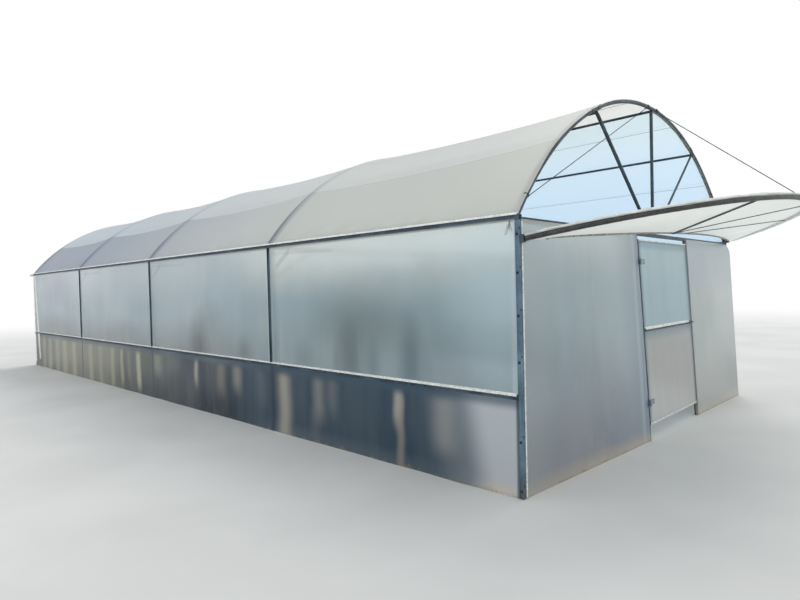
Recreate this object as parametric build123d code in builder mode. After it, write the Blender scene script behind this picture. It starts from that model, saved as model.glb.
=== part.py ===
from build123d import *
from math import asin, atan2, cos, degrees, radians, sin, sqrt
import os

# Overall sizes, in millimetres
tunnel_width = 6000  # between the centres of opposite ground posts
bay_length = 3750  # between the centres of neighbouring frames
bay_count = 4
eave_height = 2400  # ground to the centre of the eave rails
ridge_height = 3930  # ground to the centre of the arch pipe at its crown
rear_overhang = 380  # eave rail running on past the rear frame

# Steel sections
post_size = 50
post_wall = 2.5
rail_size = 50
rail_wall = 2.5
arch_diameter = 42
arch_wall = 2.0
tie_size = 40
tie_wall = 2.0
tie_drop = 15  # centre of the eave rails down to the centre of the ties
brace_size = 25
brace_reach = 420  # along the tie, from the post's face
brace_height = 360  # down the post, from the tie's underside
strut_diameter = 28
strut_wall = 1.5
strut_foot_spread = 46
purlin_diameter = 32
purlin_wall = 1.5
side_purlin_place = 1480  # sideways from the ridge
wire_diameter = 4
upper_wire_place = 730
lower_wire_place = 2140
stud_place = 1000  # rear wall studs, sideways from the middle

# Film and the channels that hold it
film_thickness = 4
film_sag = 38  # at the ridge, halfway along a bay
film_lap = 12  # film edge lying over a post
mid_rail_height = 870
mid_channel_width = 45
eave_channel_width = 40
post_channel_width = 36
channel_depth = 15
channel_wall = 2
channel_lip = 9
corner_foot_ahead = 190  # right front film's outer edge, ahead of the frame at the ground
corner_shoulder_ahead = 86
corner_shoulder_drop = 100  # shoulder of that edge below the tie

# Door, in a front that stands forward at its foot
door_lean = 130  # foot forward of the tie
door_post_size = 40
door_post_wall = 2
opening_left = -525
opening_width = 1645
hinge_gap = 32  # leaf's hinged edge to its post
leaf_gap = 8  # leaf's latch edge to its post
leaf_top_gap = 45
leaf_ground_gap = 170
leaf_section = 30
leaf_wall = 1.5
leaf_mid_height = 1265
hinge_pin_diameter = 12
hinge_barrel_diameter = 20
hinge_length = 60
hinge_strap_length = 150
hinge_strap_thickness = 4
hinge_leg_place = 6
hinge_leg_width = 8
hinge_post_clearance = 5
hinge_bracket_length = 56
hinge_bracket_height = 12
hinge_pin_tail = 6
hinge_inset = 260  # leaf's top or bottom edge to the hinge's middle
latch_length = 170
latch_diameter = 14
latch_sink = 2  # bolt's underside let into its plate
latch_plate_length = 110
latch_plate_thickness = 3
latch_reach = 32  # bolt past the leaf's edge

# Half-moon vent flap, hanging open in front of the gable
vent_left_drop = 183  # hoop's left end below the eave rails' centre
vent_right_rise = 45  # hoop's right end above it
vent_tilt = 12
vent_overhang = 10  # hoop's ends past the corner posts' centres
vent_standoff = 70  # hinge line forward of the front frame
vent_pipe_diameter = 48
vent_pipe_wall = 2
vent_bar_diameter = 20
vent_bar_bow = 284
main_rib_diameter = 20
main_rib_foot_place = -320  # along the hinge bar, from its middle
main_rib_head_place = -1130  # along the hoop, from its middle
light_rib_diameter = 10
middle_rib_foot_place = -275
middle_rib_head_place = 680
outer_rib_foot_place = 40
outer_rib_head_place = 1900
vent_clamp_width = 36
vent_clamp_height = 70
vent_clamp_plate = 6
rope_diameter = 10
stay_place = 150  # sideways from the crown
tie_line_diameter = 6
gable_line_high_place = 110  # sideways from the crown
gable_line_inset = 140  # its lower end, in from the corner post's centre

# Clearances
seat_gap = 0.3  # round pieces and the pieces they lie against
pin_clearance = 0.5

# Worked-out places
post_half = post_size / 2
half_width = tunnel_width / 2
tunnel_length = bay_count * bay_length
arch_radius_pipe = arch_diameter / 2
eave_top = eave_height + rail_size / 2
post_top = eave_height - rail_size / 2
arch_rise = ridge_height - eave_top
arch_radius = (half_width**2 + arch_rise**2) / (2 * arch_rise)
arch_centre = ridge_height - arch_radius
tie_height = eave_height - tie_drop
tie_top = tie_height + tie_size / 2
tie_under = tie_height - tie_size / 2
inner_face = half_width - post_half
outer_face = half_width + post_half
vent_left_height = eave_height - vent_left_drop
vent_right_height = eave_height + vent_right_rise
vent_half_width = half_width + vent_overhang
vent_rise = arch_rise
vent_reach = vent_rise * cos(radians(vent_tilt)) + vent_standoff + vent_pipe_diameter / 2
front = (vent_reach - tunnel_length - rear_overhang) / 2
rear = front + tunnel_length
frame_places = [front + bay_length * number for number in range(bay_count + 1)]
inner_places = frame_places[1:-1]


def finish(builder, name):
    builder.part.label = name
    export_step(builder.part, f"parts/{name}.step")


def square_ring(size, wall):
    Rectangle(size, size)
    Rectangle(size - 2 * wall, size - 2 * wall, mode=Mode.SUBTRACT)


def round_ring(diameter, wall):
    Circle(diameter / 2)
    Circle(diameter / 2 - wall, mode=Mode.SUBTRACT)


def roof_height(place, radius):
    return arch_centre + sqrt(radius**2 - place**2)


os.makedirs("parts", exist_ok=True)

# Corner posts
for name, side, place in [
    ("front_left_post", -1, front),
    ("front_right_post", 1, front),
    ("rear_left_post", -1, rear),
    ("rear_right_post", 1, rear),
]:
    with BuildPart() as corner_post:
        with BuildSketch():
            with Locations((side * half_width, place)):
                square_ring(post_size, post_wall)
        extrude(amount=post_top)
    finish(corner_post, name)

# Posts under the inner frames
for name, side in [("left_inner_posts", -1), ("right_inner_posts", 1)]:
    with BuildPart() as inner_posts:
        with BuildSketch():
            with Locations([(side * half_width, place) for place in inner_places]):
                square_ring(post_size, post_wall)
        extrude(amount=post_top)
    finish(inner_posts, name)

# Eave rails lie on the posts and run on past the rear frame
rail_length = tunnel_length + post_half + rear_overhang
for name, side in [("left_eave_rail", -1), ("right_eave_rail", 1)]:
    with BuildPart() as eave_rail:
        with BuildSketch(Plane.XZ.offset(-(front - post_half))):
            with Locations((side * half_width, eave_height)):
                square_ring(rail_size, rail_wall)
        extrude(amount=-rail_length)
    finish(eave_rail, name)

# Arches, bent to one radius and cut flat on the eave rails
arch_angle = degrees(asin(half_width / arch_radius))
arch_tail = 2  # degrees of arc past the cut
for number, place in enumerate(frame_places, start=1):
    with BuildPart() as arch:
        with BuildLine(Plane.XZ.offset(-place)) as arch_line:
            CenterArc((0, arch_centre), arch_radius, 90 - arch_angle - arch_tail, 2 * (arch_angle + arch_tail))
        with BuildSketch(Plane(origin=arch_line.line @ 0, z_dir=arch_line.line % 0)):
            round_ring(arch_diameter, arch_wall)
        sweep()
        split(bisect_by=Plane.XY.offset(eave_top), keep=Keep.TOP)
    finish(arch, f"arch_{number}")

# Ties across the end frames
for name, place in [("front_tie", front), ("rear_tie", rear)]:
    with BuildPart() as end_tie:
        with BuildSketch(Plane.YZ.offset(-inner_face)):
            with Locations((place, tie_height)):
                square_ring(tie_size, tie_wall)
        extrude(amount=2 * inner_face)
    finish(end_tie, name)

# Ties across the inner frames, with a knee brace down to each post
with BuildPart() as inner_ties:
    for place in inner_places:
        with BuildSketch(Plane.YZ.offset(-inner_face)):
            with Locations((place, tie_height)):
                square_ring(tie_size, tie_wall)
        extrude(amount=2 * inner_face)
        for side in (-1, 1):
            with BuildSketch(Plane.XZ.offset(-place)):
                with BuildLine():
                    Polyline(
                        (side * (inner_face - brace_reach), tie_under),
                        (side * (inner_face - brace_reach - brace_size * 1.3), tie_under),
                        (side * inner_face, tie_under - brace_height - brace_size * 1.3),
                        (side * inner_face, tie_under - brace_height),
                        close=True,
                    )
                make_face()
            extrude(amount=brace_size / 2, both=True)
finish(inner_ties, "inner_ties")

# Ridge and side purlins hang under the arches
purlin_radius = arch_radius - arch_radius_pipe - seat_gap - purlin_diameter / 2
purlin_front = front - strut_diameter / 2
purlin_length = tunnel_length + strut_diameter
side_purlin_height = roof_height(side_purlin_place, purlin_radius)
ridge_purlin_height = arch_centre + purlin_radius
with BuildPart() as ridge_purlin:
    with BuildSketch(Plane.XZ.offset(-purlin_front)):
        with Locations((0, ridge_purlin_height)):
            round_ring(purlin_diameter, purlin_wall)
    extrude(amount=-purlin_length)
finish(ridge_purlin, "ridge_purlin")

with BuildPart() as side_purlins:
    with BuildSketch(Plane.XZ.offset(-purlin_front)):
        with Locations((-side_purlin_place, side_purlin_height), (side_purlin_place, side_purlin_height)):
            round_ring(purlin_diameter, purlin_wall)
    extrude(amount=-purlin_length)
finish(side_purlins, "side_purlins")

# Wires that keep the roof film up between the purlins
wire_radius = arch_radius - arch_radius_pipe - seat_gap - wire_diameter / 2
wire_places = [side * place for side in (-1, 1) for place in (upper_wire_place, lower_wire_place)]
with BuildPart() as roof_wires:
    with BuildSketch(Plane.XZ.offset(-purlin_front)):
        with Locations([(place, roof_height(place, wire_radius)) for place in wire_places]):
            Circle(wire_diameter / 2)
    extrude(amount=-purlin_length)
finish(roof_wires, "roof_wires")

# Fan of struts in each end frame, coped under the purlins
strut_heads = [
    (-side_purlin_place, side_purlin_height),
    (0, ridge_purlin_height),
    (side_purlin_place, side_purlin_height),
]
for name, place in [("front_gable_struts", front), ("rear_gable_struts", rear)]:
    with BuildPart() as struts:
        for order, head in zip((-1, 0, 1), strut_heads):
            foot = Vector(order * strut_foot_spread, place, tie_top - strut_diameter)
            top = Vector(head[0], place, head[1])
            with BuildSketch(Plane(origin=foot, z_dir=top - foot)):
                round_ring(strut_diameter, strut_wall)
            extrude(amount=(top - foot).length)
        split(bisect_by=Plane.XY.offset(tie_top), keep=Keep.TOP)
        with BuildSketch(Plane.XZ.offset(-(place - strut_diameter))):
            with Locations(strut_heads):
                Circle(purlin_diameter / 2 + seat_gap)
        extrude(amount=-2 * strut_diameter, mode=Mode.SUBTRACT)
    finish(struts, name)


# Roof film, one panel over each bay, slack halfway between the arches
film_radius = arch_radius + arch_radius_pipe + seat_gap
film_spring = sqrt(film_radius**2 - (eave_top - arch_centre) ** 2)


def roof_profile(place, sag):
    crown = arch_centre + film_radius - sag
    with BuildSketch(Plane.XZ.offset(-place)) as profile:
        with BuildLine():
            ThreePointArc((-film_spring, eave_top), (0, crown), (film_spring, eave_top))
            Line((film_spring, eave_top), (film_spring + film_thickness, eave_top))
            ThreePointArc(
                (film_spring + film_thickness, eave_top),
                (0, crown + film_thickness),
                (-film_spring - film_thickness, eave_top),
            )
            Line((-film_spring - film_thickness, eave_top), (-film_spring, eave_top))
        make_face()
    return profile.sketch


for number, place in enumerate(frame_places[:-1], start=1):
    next_place = place + bay_length
    with BuildPart() as roof_film:
        loft([
            roof_profile(place, 0),
            roof_profile(place + bay_length / 2, film_sag),
            roof_profile(next_place, 0),
        ])
        if place == front:
            extrude(roof_profile(front, 0), amount=arch_radius_pipe)
        if number == bay_count:
            extrude(roof_profile(next_place, 0), amount=-arch_radius_pipe)
    finish(roof_film, f"roof_film_{number}")

# Side wall film above and below the mid rail
wall_front = front + post_half - film_lap
wall_rear = rear + post_half
wall_length = wall_rear - wall_front
for side_name, side in [("left", -1), ("right", 1)]:
    film_place = side * (outer_face + film_thickness / 2)
    with BuildPart() as wall_film:
        with BuildSketch(Plane.XZ.offset(-wall_front)):
            with Locations((film_place, (mid_rail_height + eave_height) / 2)):
                Rectangle(film_thickness, eave_height - mid_rail_height)
        extrude(amount=-wall_length)
    finish(wall_film, f"{side_name}_wall_film")

    with BuildPart() as skirt_film:
        with BuildSketch(Plane.XZ.offset(-wall_front)):
            with Locations((film_place, mid_rail_height / 2)):
                Rectangle(film_thickness, mid_rail_height)
        extrude(amount=-wall_length)
    finish(skirt_film, f"{side_name}_skirt_film")


# Channel section with its back on the film and its lips outward
def channel_section(side, place, height, width):
    with Locations((place + side * channel_depth / 2, height)):
        Rectangle(channel_depth, width)
    with Locations((place + side * (channel_depth / 2 + channel_wall / 2), height)):
        Rectangle(channel_depth - channel_wall, width - 2 * channel_wall, mode=Mode.SUBTRACT)
    lip_centre = width / 2 - channel_lip / 2
    lip_place = place + side * (channel_depth - channel_wall / 2)
    with Locations((lip_place, height + lip_centre), (lip_place, height - lip_centre)):
        Rectangle(channel_wall, channel_lip)


channel_back = outer_face + film_thickness
eave_channel_height = eave_top - eave_channel_width / 2
for side_name, side in [("left", -1), ("right", 1)]:
    with BuildPart() as mid_rail:
        with BuildSketch(Plane.XZ.offset(-wall_front)):
            channel_section(side, side * channel_back, mid_rail_height, mid_channel_width)
        extrude(amount=-wall_length)
    finish(mid_rail, f"{side_name}_mid_rail")

    with BuildPart() as eave_channel:
        with BuildSketch(Plane.XZ.offset(-(front - post_half))):
            channel_section(side, side * channel_back, eave_channel_height, eave_channel_width)
        extrude(amount=-(tunnel_length + post_size))
    finish(eave_channel, f"{side_name}_eave_channel")

    post_channel_low = mid_rail_height + mid_channel_width / 2
    post_channel_high = eave_top - eave_channel_width
    with BuildPart() as post_channels:
        with BuildSketch(Plane.XY.offset(post_channel_low)):
            for place in inner_places:
                with Locations((side * (channel_back + channel_depth / 2), place)):
                    Rectangle(channel_depth, post_channel_width)
                with Locations((side * (channel_back + channel_depth / 2 + channel_wall / 2), place)):
                    Rectangle(
                        channel_depth - channel_wall,
                        post_channel_width - 2 * channel_wall,
                        mode=Mode.SUBTRACT,
                    )
        extrude(amount=post_channel_high - post_channel_low)
    finish(post_channels, f"{side_name}_post_channels")

# Front posts beside the doorway, standing forward at the foot
door_post_half = door_post_size / 2
opening_right = opening_left + opening_width


def lean_at(height):
    return door_lean * (1 - height / tie_height)


def leaning_outline(half, high):
    return [
        (front - lean_at(0) - half, 0),
        (front - lean_at(high) - half, high),
        (front - lean_at(high) + half, high),
        (front - lean_at(0) + half, 0),
    ]


for name, edge, side in [("door_post_left", opening_left, -1), ("door_post_right", opening_right, 1)]:
    post_centre = edge + side * door_post_half
    bore_half = door_post_half - door_post_wall
    with BuildPart() as door_post:
        with BuildSketch(Plane.YZ.offset(post_centre)):
            with BuildLine():
                Polyline(*leaning_outline(door_post_half, tie_under), close=True)
            make_face()
        extrude(amount=door_post_half, both=True)
        with BuildSketch(Plane.YZ.offset(post_centre)):
            with BuildLine():
                Polyline(*leaning_outline(bore_half, tie_under), close=True)
            make_face()
        extrude(amount=bore_half, both=True, mode=Mode.SUBTRACT)
    finish(door_post, name)


# Front film, flat on the door posts and twisted towards the corners
shoulder_height = tie_height - corner_shoulder_drop
film_end = inner_face + film_lap


def film_edge(place, low, low_ahead, high, high_ahead):
    with BuildSketch(Plane.YZ.offset(place)) as edge:
        with BuildLine():
            Polyline(
                (front - low_ahead, low),
                (front - high_ahead, high),
                (front - high_ahead - film_thickness, high),
                (front - low_ahead - film_thickness, low),
                close=True,
            )
        make_face()
    return edge.sketch


def door_film_edge(place, low, high):
    return film_edge(place, low, door_post_half + lean_at(low), high, door_post_half + lean_at(high))


with BuildPart() as front_film_left:
    loft([
        film_edge(-film_end, 0, post_half, tie_height, post_half),
        film_edge(-inner_face, 0, post_half, tie_height, post_half),
        door_film_edge(opening_left - door_post_size, 0, tie_height),
        door_film_edge(opening_left, 0, tie_height),
    ], ruled=True)
finish(front_film_left, "front_film_left")

# Right film stands ahead of its corner post and turns back to it
corner_film_place = film_end - film_thickness
with BuildPart() as front_film_right:
    for low, low_ahead, high, high_ahead in [
        (0, corner_foot_ahead, shoulder_height, corner_shoulder_ahead),
        (shoulder_height, corner_shoulder_ahead, tie_height, post_half),
    ]:
        loft([
            door_film_edge(opening_right, low, high),
            door_film_edge(opening_right + door_post_size, low, high),
            film_edge(corner_film_place, low, low_ahead, high, high_ahead),
        ], ruled=True)
    with BuildSketch(Plane.YZ.offset(corner_film_place)):
        with BuildLine():
            Polyline(
                (front - post_half, 0),
                (front - post_half, tie_height),
                (front - post_half - film_thickness, tie_height),
                (front - corner_shoulder_ahead - film_thickness, shoulder_height),
                (front - corner_foot_ahead - film_thickness, 0),
                close=True,
            )
        make_face()
    extrude(amount=film_thickness)
finish(front_film_right, "front_film_right")

# Rear wall studs, film and closed gable film
with BuildPart() as rear_studs:
    with BuildSketch():
        with Locations((-stud_place, rear), (stud_place, rear)):
            square_ring(door_post_size, door_post_wall)
    extrude(amount=tie_under)
finish(rear_studs, "rear_studs")

with BuildPart() as rear_wall_film:
    with BuildSketch(Plane.XZ.offset(-(rear + post_half))):
        with Locations((0, post_top / 2)):
            Rectangle(2 * outer_face, post_top)
    extrude(amount=-film_thickness)
finish(rear_wall_film, "rear_wall_film")

gable_film_place = rear + arch_radius_pipe + seat_gap
with BuildPart() as rear_gable_film:
    with BuildSketch(Plane.XZ.offset(-gable_film_place)):
        with BuildLine():
            ThreePointArc((-half_width, eave_top), (0, ridge_height), (half_width, eave_top))
            Polyline(
                (half_width, eave_top),
                (inner_face, eave_top),
                (inner_face, post_top),
                (-inner_face, post_top),
                (-inner_face, eave_top),
                (-half_width, eave_top),
            )
        make_face()
    extrude(amount=-film_thickness)
finish(rear_gable_film, "rear_gable_film")

# Door leaf, drawn on the leaning plane of the doorway
lean_angle = atan2(door_lean, tie_height)
door_plane = Plane(
    origin=(0, front, tie_height),
    x_dir=(1, 0, 0),
    z_dir=(0, -cos(lean_angle), sin(lean_angle)),
)
leaf_left = opening_left + hinge_gap
leaf_width = opening_width - hinge_gap - leaf_gap
leaf_right = leaf_left + leaf_width
leaf_middle = leaf_left + leaf_width / 2
leaf_high = (tie_under - leaf_top_gap - tie_height) / cos(lean_angle)
leaf_low = (leaf_ground_gap - tie_height) / cos(lean_angle)
leaf_height = leaf_high - leaf_low
leaf_centre = (leaf_high + leaf_low) / 2
leaf_mid_place = (leaf_mid_height - tie_height) / cos(lean_angle)
leaf_half = leaf_section / 2
leaf_front = leaf_half + film_thickness

with BuildPart() as door_frame:
    with BuildSketch(door_plane.offset(-leaf_half)):
        with Locations((leaf_middle, leaf_centre)):
            Rectangle(leaf_width, leaf_height)
            Rectangle(leaf_width - 2 * leaf_section, leaf_height - 2 * leaf_section, mode=Mode.SUBTRACT)
        with Locations((leaf_middle, leaf_mid_place)):
            Rectangle(leaf_width - 2 * leaf_section, leaf_section)
    extrude(amount=leaf_section)
    with BuildSketch(door_plane.offset(-leaf_half + leaf_wall)):
        with Locations((leaf_middle, leaf_centre)):
            Rectangle(leaf_width - 2 * leaf_wall, leaf_height - 2 * leaf_wall)
            Rectangle(
                leaf_width - 2 * leaf_section + 2 * leaf_wall,
                leaf_height - 2 * leaf_section + 2 * leaf_wall,
                mode=Mode.SUBTRACT,
            )
        with Locations((leaf_middle, leaf_mid_place)):
            Rectangle(leaf_width - 2 * leaf_section + 2 * leaf_wall, leaf_section - 2 * leaf_wall)
    extrude(amount=leaf_section - 2 * leaf_wall, mode=Mode.SUBTRACT)
finish(door_frame, "door_frame")

with BuildPart() as door_film:
    with BuildSketch(door_plane.offset(leaf_half)):
        with Locations((leaf_middle, leaf_centre)):
            Rectangle(leaf_width, leaf_height)
    extrude(amount=film_thickness)
finish(door_film, "door_film")

with BuildPart() as door_mid_channel:
    with BuildSketch(door_plane.offset(leaf_front)):
        with Locations((leaf_middle, leaf_mid_place)):
            Rectangle(leaf_width, leaf_section)
    extrude(amount=channel_depth)
    with BuildSketch(door_plane.offset(leaf_front + channel_wall)):
        with Locations((leaf_middle, leaf_mid_place)):
            Rectangle(leaf_width, leaf_section - 2 * channel_wall)
    extrude(amount=channel_depth - channel_wall, mode=Mode.SUBTRACT)
finish(door_mid_channel, "door_mid_channel")

# Latch: a plate on the mid channel and a bolt that reaches over the post
latch_back = leaf_front + channel_depth
latch_middle = leaf_right - latch_plate_length / 2
latch_depth = latch_back + latch_plate_thickness + latch_diameter / 2 - latch_sink
with BuildPart() as door_latch:
    with BuildSketch(door_plane.offset(latch_back)):
        with Locations((latch_middle, leaf_mid_place)):
            Rectangle(latch_plate_length, leaf_section)
    extrude(amount=latch_plate_thickness)
    with BuildSketch(Plane(
        origin=door_plane.from_local_coords(Vector(leaf_right + latch_reach, leaf_mid_place, latch_depth)),
        z_dir=(-1, 0, 0),
    )):
        Circle(latch_diameter / 2)
    extrude(amount=latch_length)
finish(door_latch, "door_latch")

# Hinges: a bracket and pin on the post, a strap with its barrel on the leaf
hinge_axis_place = opening_left + hinge_gap / 2
barrel_half = hinge_barrel_diameter / 2
post_film_front = door_post_half + film_thickness
hinge_depth = post_film_front + hinge_post_clearance + barrel_half
strap_back = hinge_depth - leaf_front
hinge_places = [leaf_high - hinge_inset, leaf_low + hinge_inset]


def hinge_plane(place, below):
    return Plane(
        origin=door_plane.from_local_coords(Vector(hinge_axis_place, place - below, hinge_depth)),
        x_dir=(1, 0, 0),
        z_dir=door_plane.y_dir,
    )


with BuildPart() as door_hinge_straps:
    for place in hinge_places:
        with BuildSketch(hinge_plane(place, hinge_length / 2)):
            Circle(barrel_half)
            with Locations((hinge_leg_place, strap_back / 2)):
                Rectangle(hinge_leg_width, strap_back)
            with Locations((hinge_leg_place - hinge_leg_width / 2, strap_back)):
                Rectangle(
                    hinge_strap_length,
                    hinge_strap_thickness,
                    align=(Align.MIN, Align.MAX),
                )
            Circle(hinge_pin_diameter / 2 + pin_clearance, mode=Mode.SUBTRACT)
        extrude(amount=hinge_length)
finish(door_hinge_straps, "door_hinge_straps")

bracket_back = hinge_depth - post_film_front - seat_gap
bracket_below = hinge_length / 2 + pin_clearance + hinge_bracket_height
with BuildPart() as door_hinge_pins:
    for place in hinge_places:
        with BuildSketch(hinge_plane(place, bracket_below)):
            with Locations((hinge_pin_diameter / 2, bracket_back)):
                Rectangle(
                    hinge_bracket_length,
                    bracket_back + hinge_pin_diameter / 2,
                    align=(Align.MAX, Align.MAX),
                )
        extrude(amount=hinge_bracket_height)
        with BuildSketch(hinge_plane(place, bracket_below)):
            Circle(hinge_pin_diameter / 2)
        extrude(amount=bracket_below + hinge_length / 2 + hinge_pin_tail)
finish(door_hinge_pins, "door_hinge_pins")

# Vent flap: a bent pipe, a bowed bar at its hinge line, ribs and film
vent_skew = atan2(vent_right_height - vent_left_height, 2 * vent_half_width)
vent_across = Vector(cos(vent_skew), 0, sin(vent_skew))
vent_outward = Vector(0, -cos(radians(vent_tilt)), sin(radians(vent_tilt)))
vent_plane = Plane(
    origin=(0, front - vent_standoff, (vent_left_height + vent_right_height) / 2),
    x_dir=vent_across,
    z_dir=vent_across.cross(vent_outward),
)
vent_radius = (vent_half_width**2 + vent_rise**2) / (2 * vent_rise)
vent_pipe_half = vent_pipe_diameter / 2
vent_bar_half = vent_bar_diameter / 2

bar_half_width = vent_half_width - vent_pipe_half
vent_bar_radius = (bar_half_width**2 + vent_bar_bow**2) / (2 * vent_bar_bow)

with BuildPart() as vent_hoop:
    with BuildLine(vent_plane) as hoop_line:
        ThreePointArc((-vent_half_width, 0), (0, vent_rise), (vent_half_width, 0))
    hoop_start = Plane(origin=hoop_line.line @ 0, z_dir=hoop_line.line % 0)
    with BuildSketch(hoop_start):
        round_ring(vent_pipe_diameter, vent_pipe_wall)
    sweep()
finish(vent_hoop, "vent_hoop")

with BuildPart() as vent_base_bar:
    with BuildLine(vent_plane) as bar_line:
        ThreePointArc((-bar_half_width, 0), (0, vent_bar_bow), (bar_half_width, 0))
    bar_start = Plane(origin=bar_line.line @ 0, z_dir=bar_line.line % 0)
    with BuildSketch(bar_start):
        Circle(vent_bar_half)
    sweep()
    with BuildSketch(hoop_start):
        Circle(vent_pipe_half + seat_gap)
    sweep(path=hoop_line.line, mode=Mode.SUBTRACT)
finish(vent_base_bar, "vent_base_bar")



# Point of the flap's own plane on the hoop or on the bar, set below the film
def vent_point(place, bow, radius, drop):
    return vent_plane.from_local_coords(Vector(place, bow - radius + sqrt(radius**2 - place**2), drop))


# Ribs under the flap's film, from the bar out to the hoop
with BuildPart() as vent_ribs:
    for diameter, foot_place, head_place in [
        (main_rib_diameter, main_rib_foot_place, main_rib_head_place),
        (light_rib_diameter, middle_rib_foot_place, middle_rib_head_place),
        (light_rib_diameter, outer_rib_foot_place, outer_rib_head_place),
    ]:
        rib_drop = film_thickness / 2 + seat_gap + diameter / 2
        foot = vent_point(foot_place, vent_bar_bow, vent_bar_radius, rib_drop)
        top = vent_point(head_place, vent_rise, vent_radius, rib_drop)
        with BuildSketch(Plane(origin=foot, z_dir=top - foot)):
            Circle(diameter / 2)
        extrude(amount=(top - foot).length)
    with BuildSketch(hoop_start):
        Circle(vent_pipe_half + seat_gap)
    sweep(path=hoop_line.line, mode=Mode.SUBTRACT)
    with BuildSketch(bar_start):
        Circle(vent_bar_half + seat_gap)
    sweep(path=bar_line.line, mode=Mode.SUBTRACT)
finish(vent_ribs, "vent_ribs")

with BuildPart() as vent_film:
    with BuildSketch(vent_plane.offset(-film_thickness / 2)):
        with Locations((0, vent_rise - vent_radius)):
            Circle(vent_radius - vent_pipe_half - seat_gap)
        with Locations((0, vent_bar_bow - vent_bar_radius)):
            Circle(vent_bar_radius + vent_bar_half + seat_gap, mode=Mode.SUBTRACT)
    extrude(amount=film_thickness)
finish(vent_film, "vent_film")

# Clamps that hold the hoop's ends to the corner posts
clamp_place = outer_face - vent_clamp_width / 2
with BuildPart() as vent_clamps:
    for side, height in [(-1, vent_left_height), (1, vent_right_height)]:
        plate_low = min(height - vent_clamp_height / 2, post_top - vent_clamp_height)
        plate_high = height + vent_clamp_height / 2
        with BuildSketch(Plane.XZ.offset(-(front - post_half))):
            with Locations((side * clamp_place, (plate_low + plate_high) / 2)):
                Rectangle(vent_clamp_width, plate_high - plate_low)
        extrude(amount=vent_clamp_plate)
        with BuildSketch(Plane.XZ.offset(-(front - post_half))):
            with Locations((side * clamp_place, height)):
                Rectangle(vent_clamp_width, vent_clamp_height)
        extrude(amount=vent_standoff - post_half)
    with BuildSketch(hoop_start):
        Circle(vent_pipe_half + seat_gap)
    sweep(path=hoop_line.line, mode=Mode.SUBTRACT)
finish(vent_clamps, "vent_clamps")

# Taut stay from the front arch, beside its crown, out to the hoop's crown
stay_head = Vector(stay_place, front, roof_height(stay_place, arch_radius))
hoop_crown = vent_plane.from_local_coords(Vector(0, vent_rise, 0))
with BuildPart() as vent_stay:
    with BuildSketch(Plane(origin=stay_head, z_dir=hoop_crown - stay_head)):
        Circle(rope_diameter / 2)
    extrude(amount=(hoop_crown - stay_head).length)
    with BuildLine(Plane.XZ.offset(-front)) as front_arch_line:
        CenterArc((0, arch_centre), arch_radius, 90 - arch_angle, 2 * arch_angle)
    front_arch_start = Plane(origin=front_arch_line.line @ 0, z_dir=front_arch_line.line % 0)
    with BuildSketch(front_arch_start):
        Circle(arch_radius_pipe + seat_gap)
    sweep(path=front_arch_line.line, mode=Mode.SUBTRACT)
    with BuildSketch(hoop_start):
        Circle(vent_pipe_half + seat_gap)
    sweep(path=hoop_line.line, mode=Mode.SUBTRACT)
finish(vent_stay, "vent_stay")

# Taut line behind the front struts, from the crown down to the springing
line_place = front + strut_diameter / 2 + seat_gap + tie_line_diameter / 2


def on_arch(sideways):
    return Vector(sideways, line_place, roof_height(sideways, arch_radius))


line_high = on_arch(-gable_line_high_place)
line_low = on_arch(gable_line_inset - half_width)
with BuildPart() as gable_line:
    with BuildSketch(Plane(origin=line_high, z_dir=line_low - line_high)):
        Circle(tie_line_diameter / 2)
    extrude(amount=(line_low - line_high).length)
    with BuildSketch(front_arch_start):
        Circle(arch_radius_pipe + seat_gap)
    sweep(path=front_arch_line.line, mode=Mode.SUBTRACT)
finish(gable_line, "gable_line")
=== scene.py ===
import math

import bpy
import numpy as np
from mathutils import Matrix, Vector


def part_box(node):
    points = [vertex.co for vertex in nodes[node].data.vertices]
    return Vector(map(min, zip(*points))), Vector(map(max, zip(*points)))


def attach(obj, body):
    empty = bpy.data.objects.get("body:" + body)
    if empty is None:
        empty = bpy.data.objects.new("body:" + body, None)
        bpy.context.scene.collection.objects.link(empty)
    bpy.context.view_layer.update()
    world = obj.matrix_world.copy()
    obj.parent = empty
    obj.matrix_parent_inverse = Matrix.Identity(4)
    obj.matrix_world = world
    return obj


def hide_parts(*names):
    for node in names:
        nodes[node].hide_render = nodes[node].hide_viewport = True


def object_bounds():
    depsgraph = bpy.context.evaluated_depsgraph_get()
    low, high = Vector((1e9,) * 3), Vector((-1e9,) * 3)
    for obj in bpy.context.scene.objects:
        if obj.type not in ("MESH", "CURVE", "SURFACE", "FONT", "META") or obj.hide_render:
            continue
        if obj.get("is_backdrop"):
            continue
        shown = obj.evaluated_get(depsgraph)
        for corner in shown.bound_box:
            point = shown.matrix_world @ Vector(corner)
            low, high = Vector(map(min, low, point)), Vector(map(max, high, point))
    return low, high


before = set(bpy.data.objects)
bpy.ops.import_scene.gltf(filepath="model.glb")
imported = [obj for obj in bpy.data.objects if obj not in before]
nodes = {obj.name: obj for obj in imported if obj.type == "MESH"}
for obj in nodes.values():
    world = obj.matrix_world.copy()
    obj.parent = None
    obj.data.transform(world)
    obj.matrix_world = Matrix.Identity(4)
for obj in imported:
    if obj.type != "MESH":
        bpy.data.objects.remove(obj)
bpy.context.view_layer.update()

scene = bpy.context.scene

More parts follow.
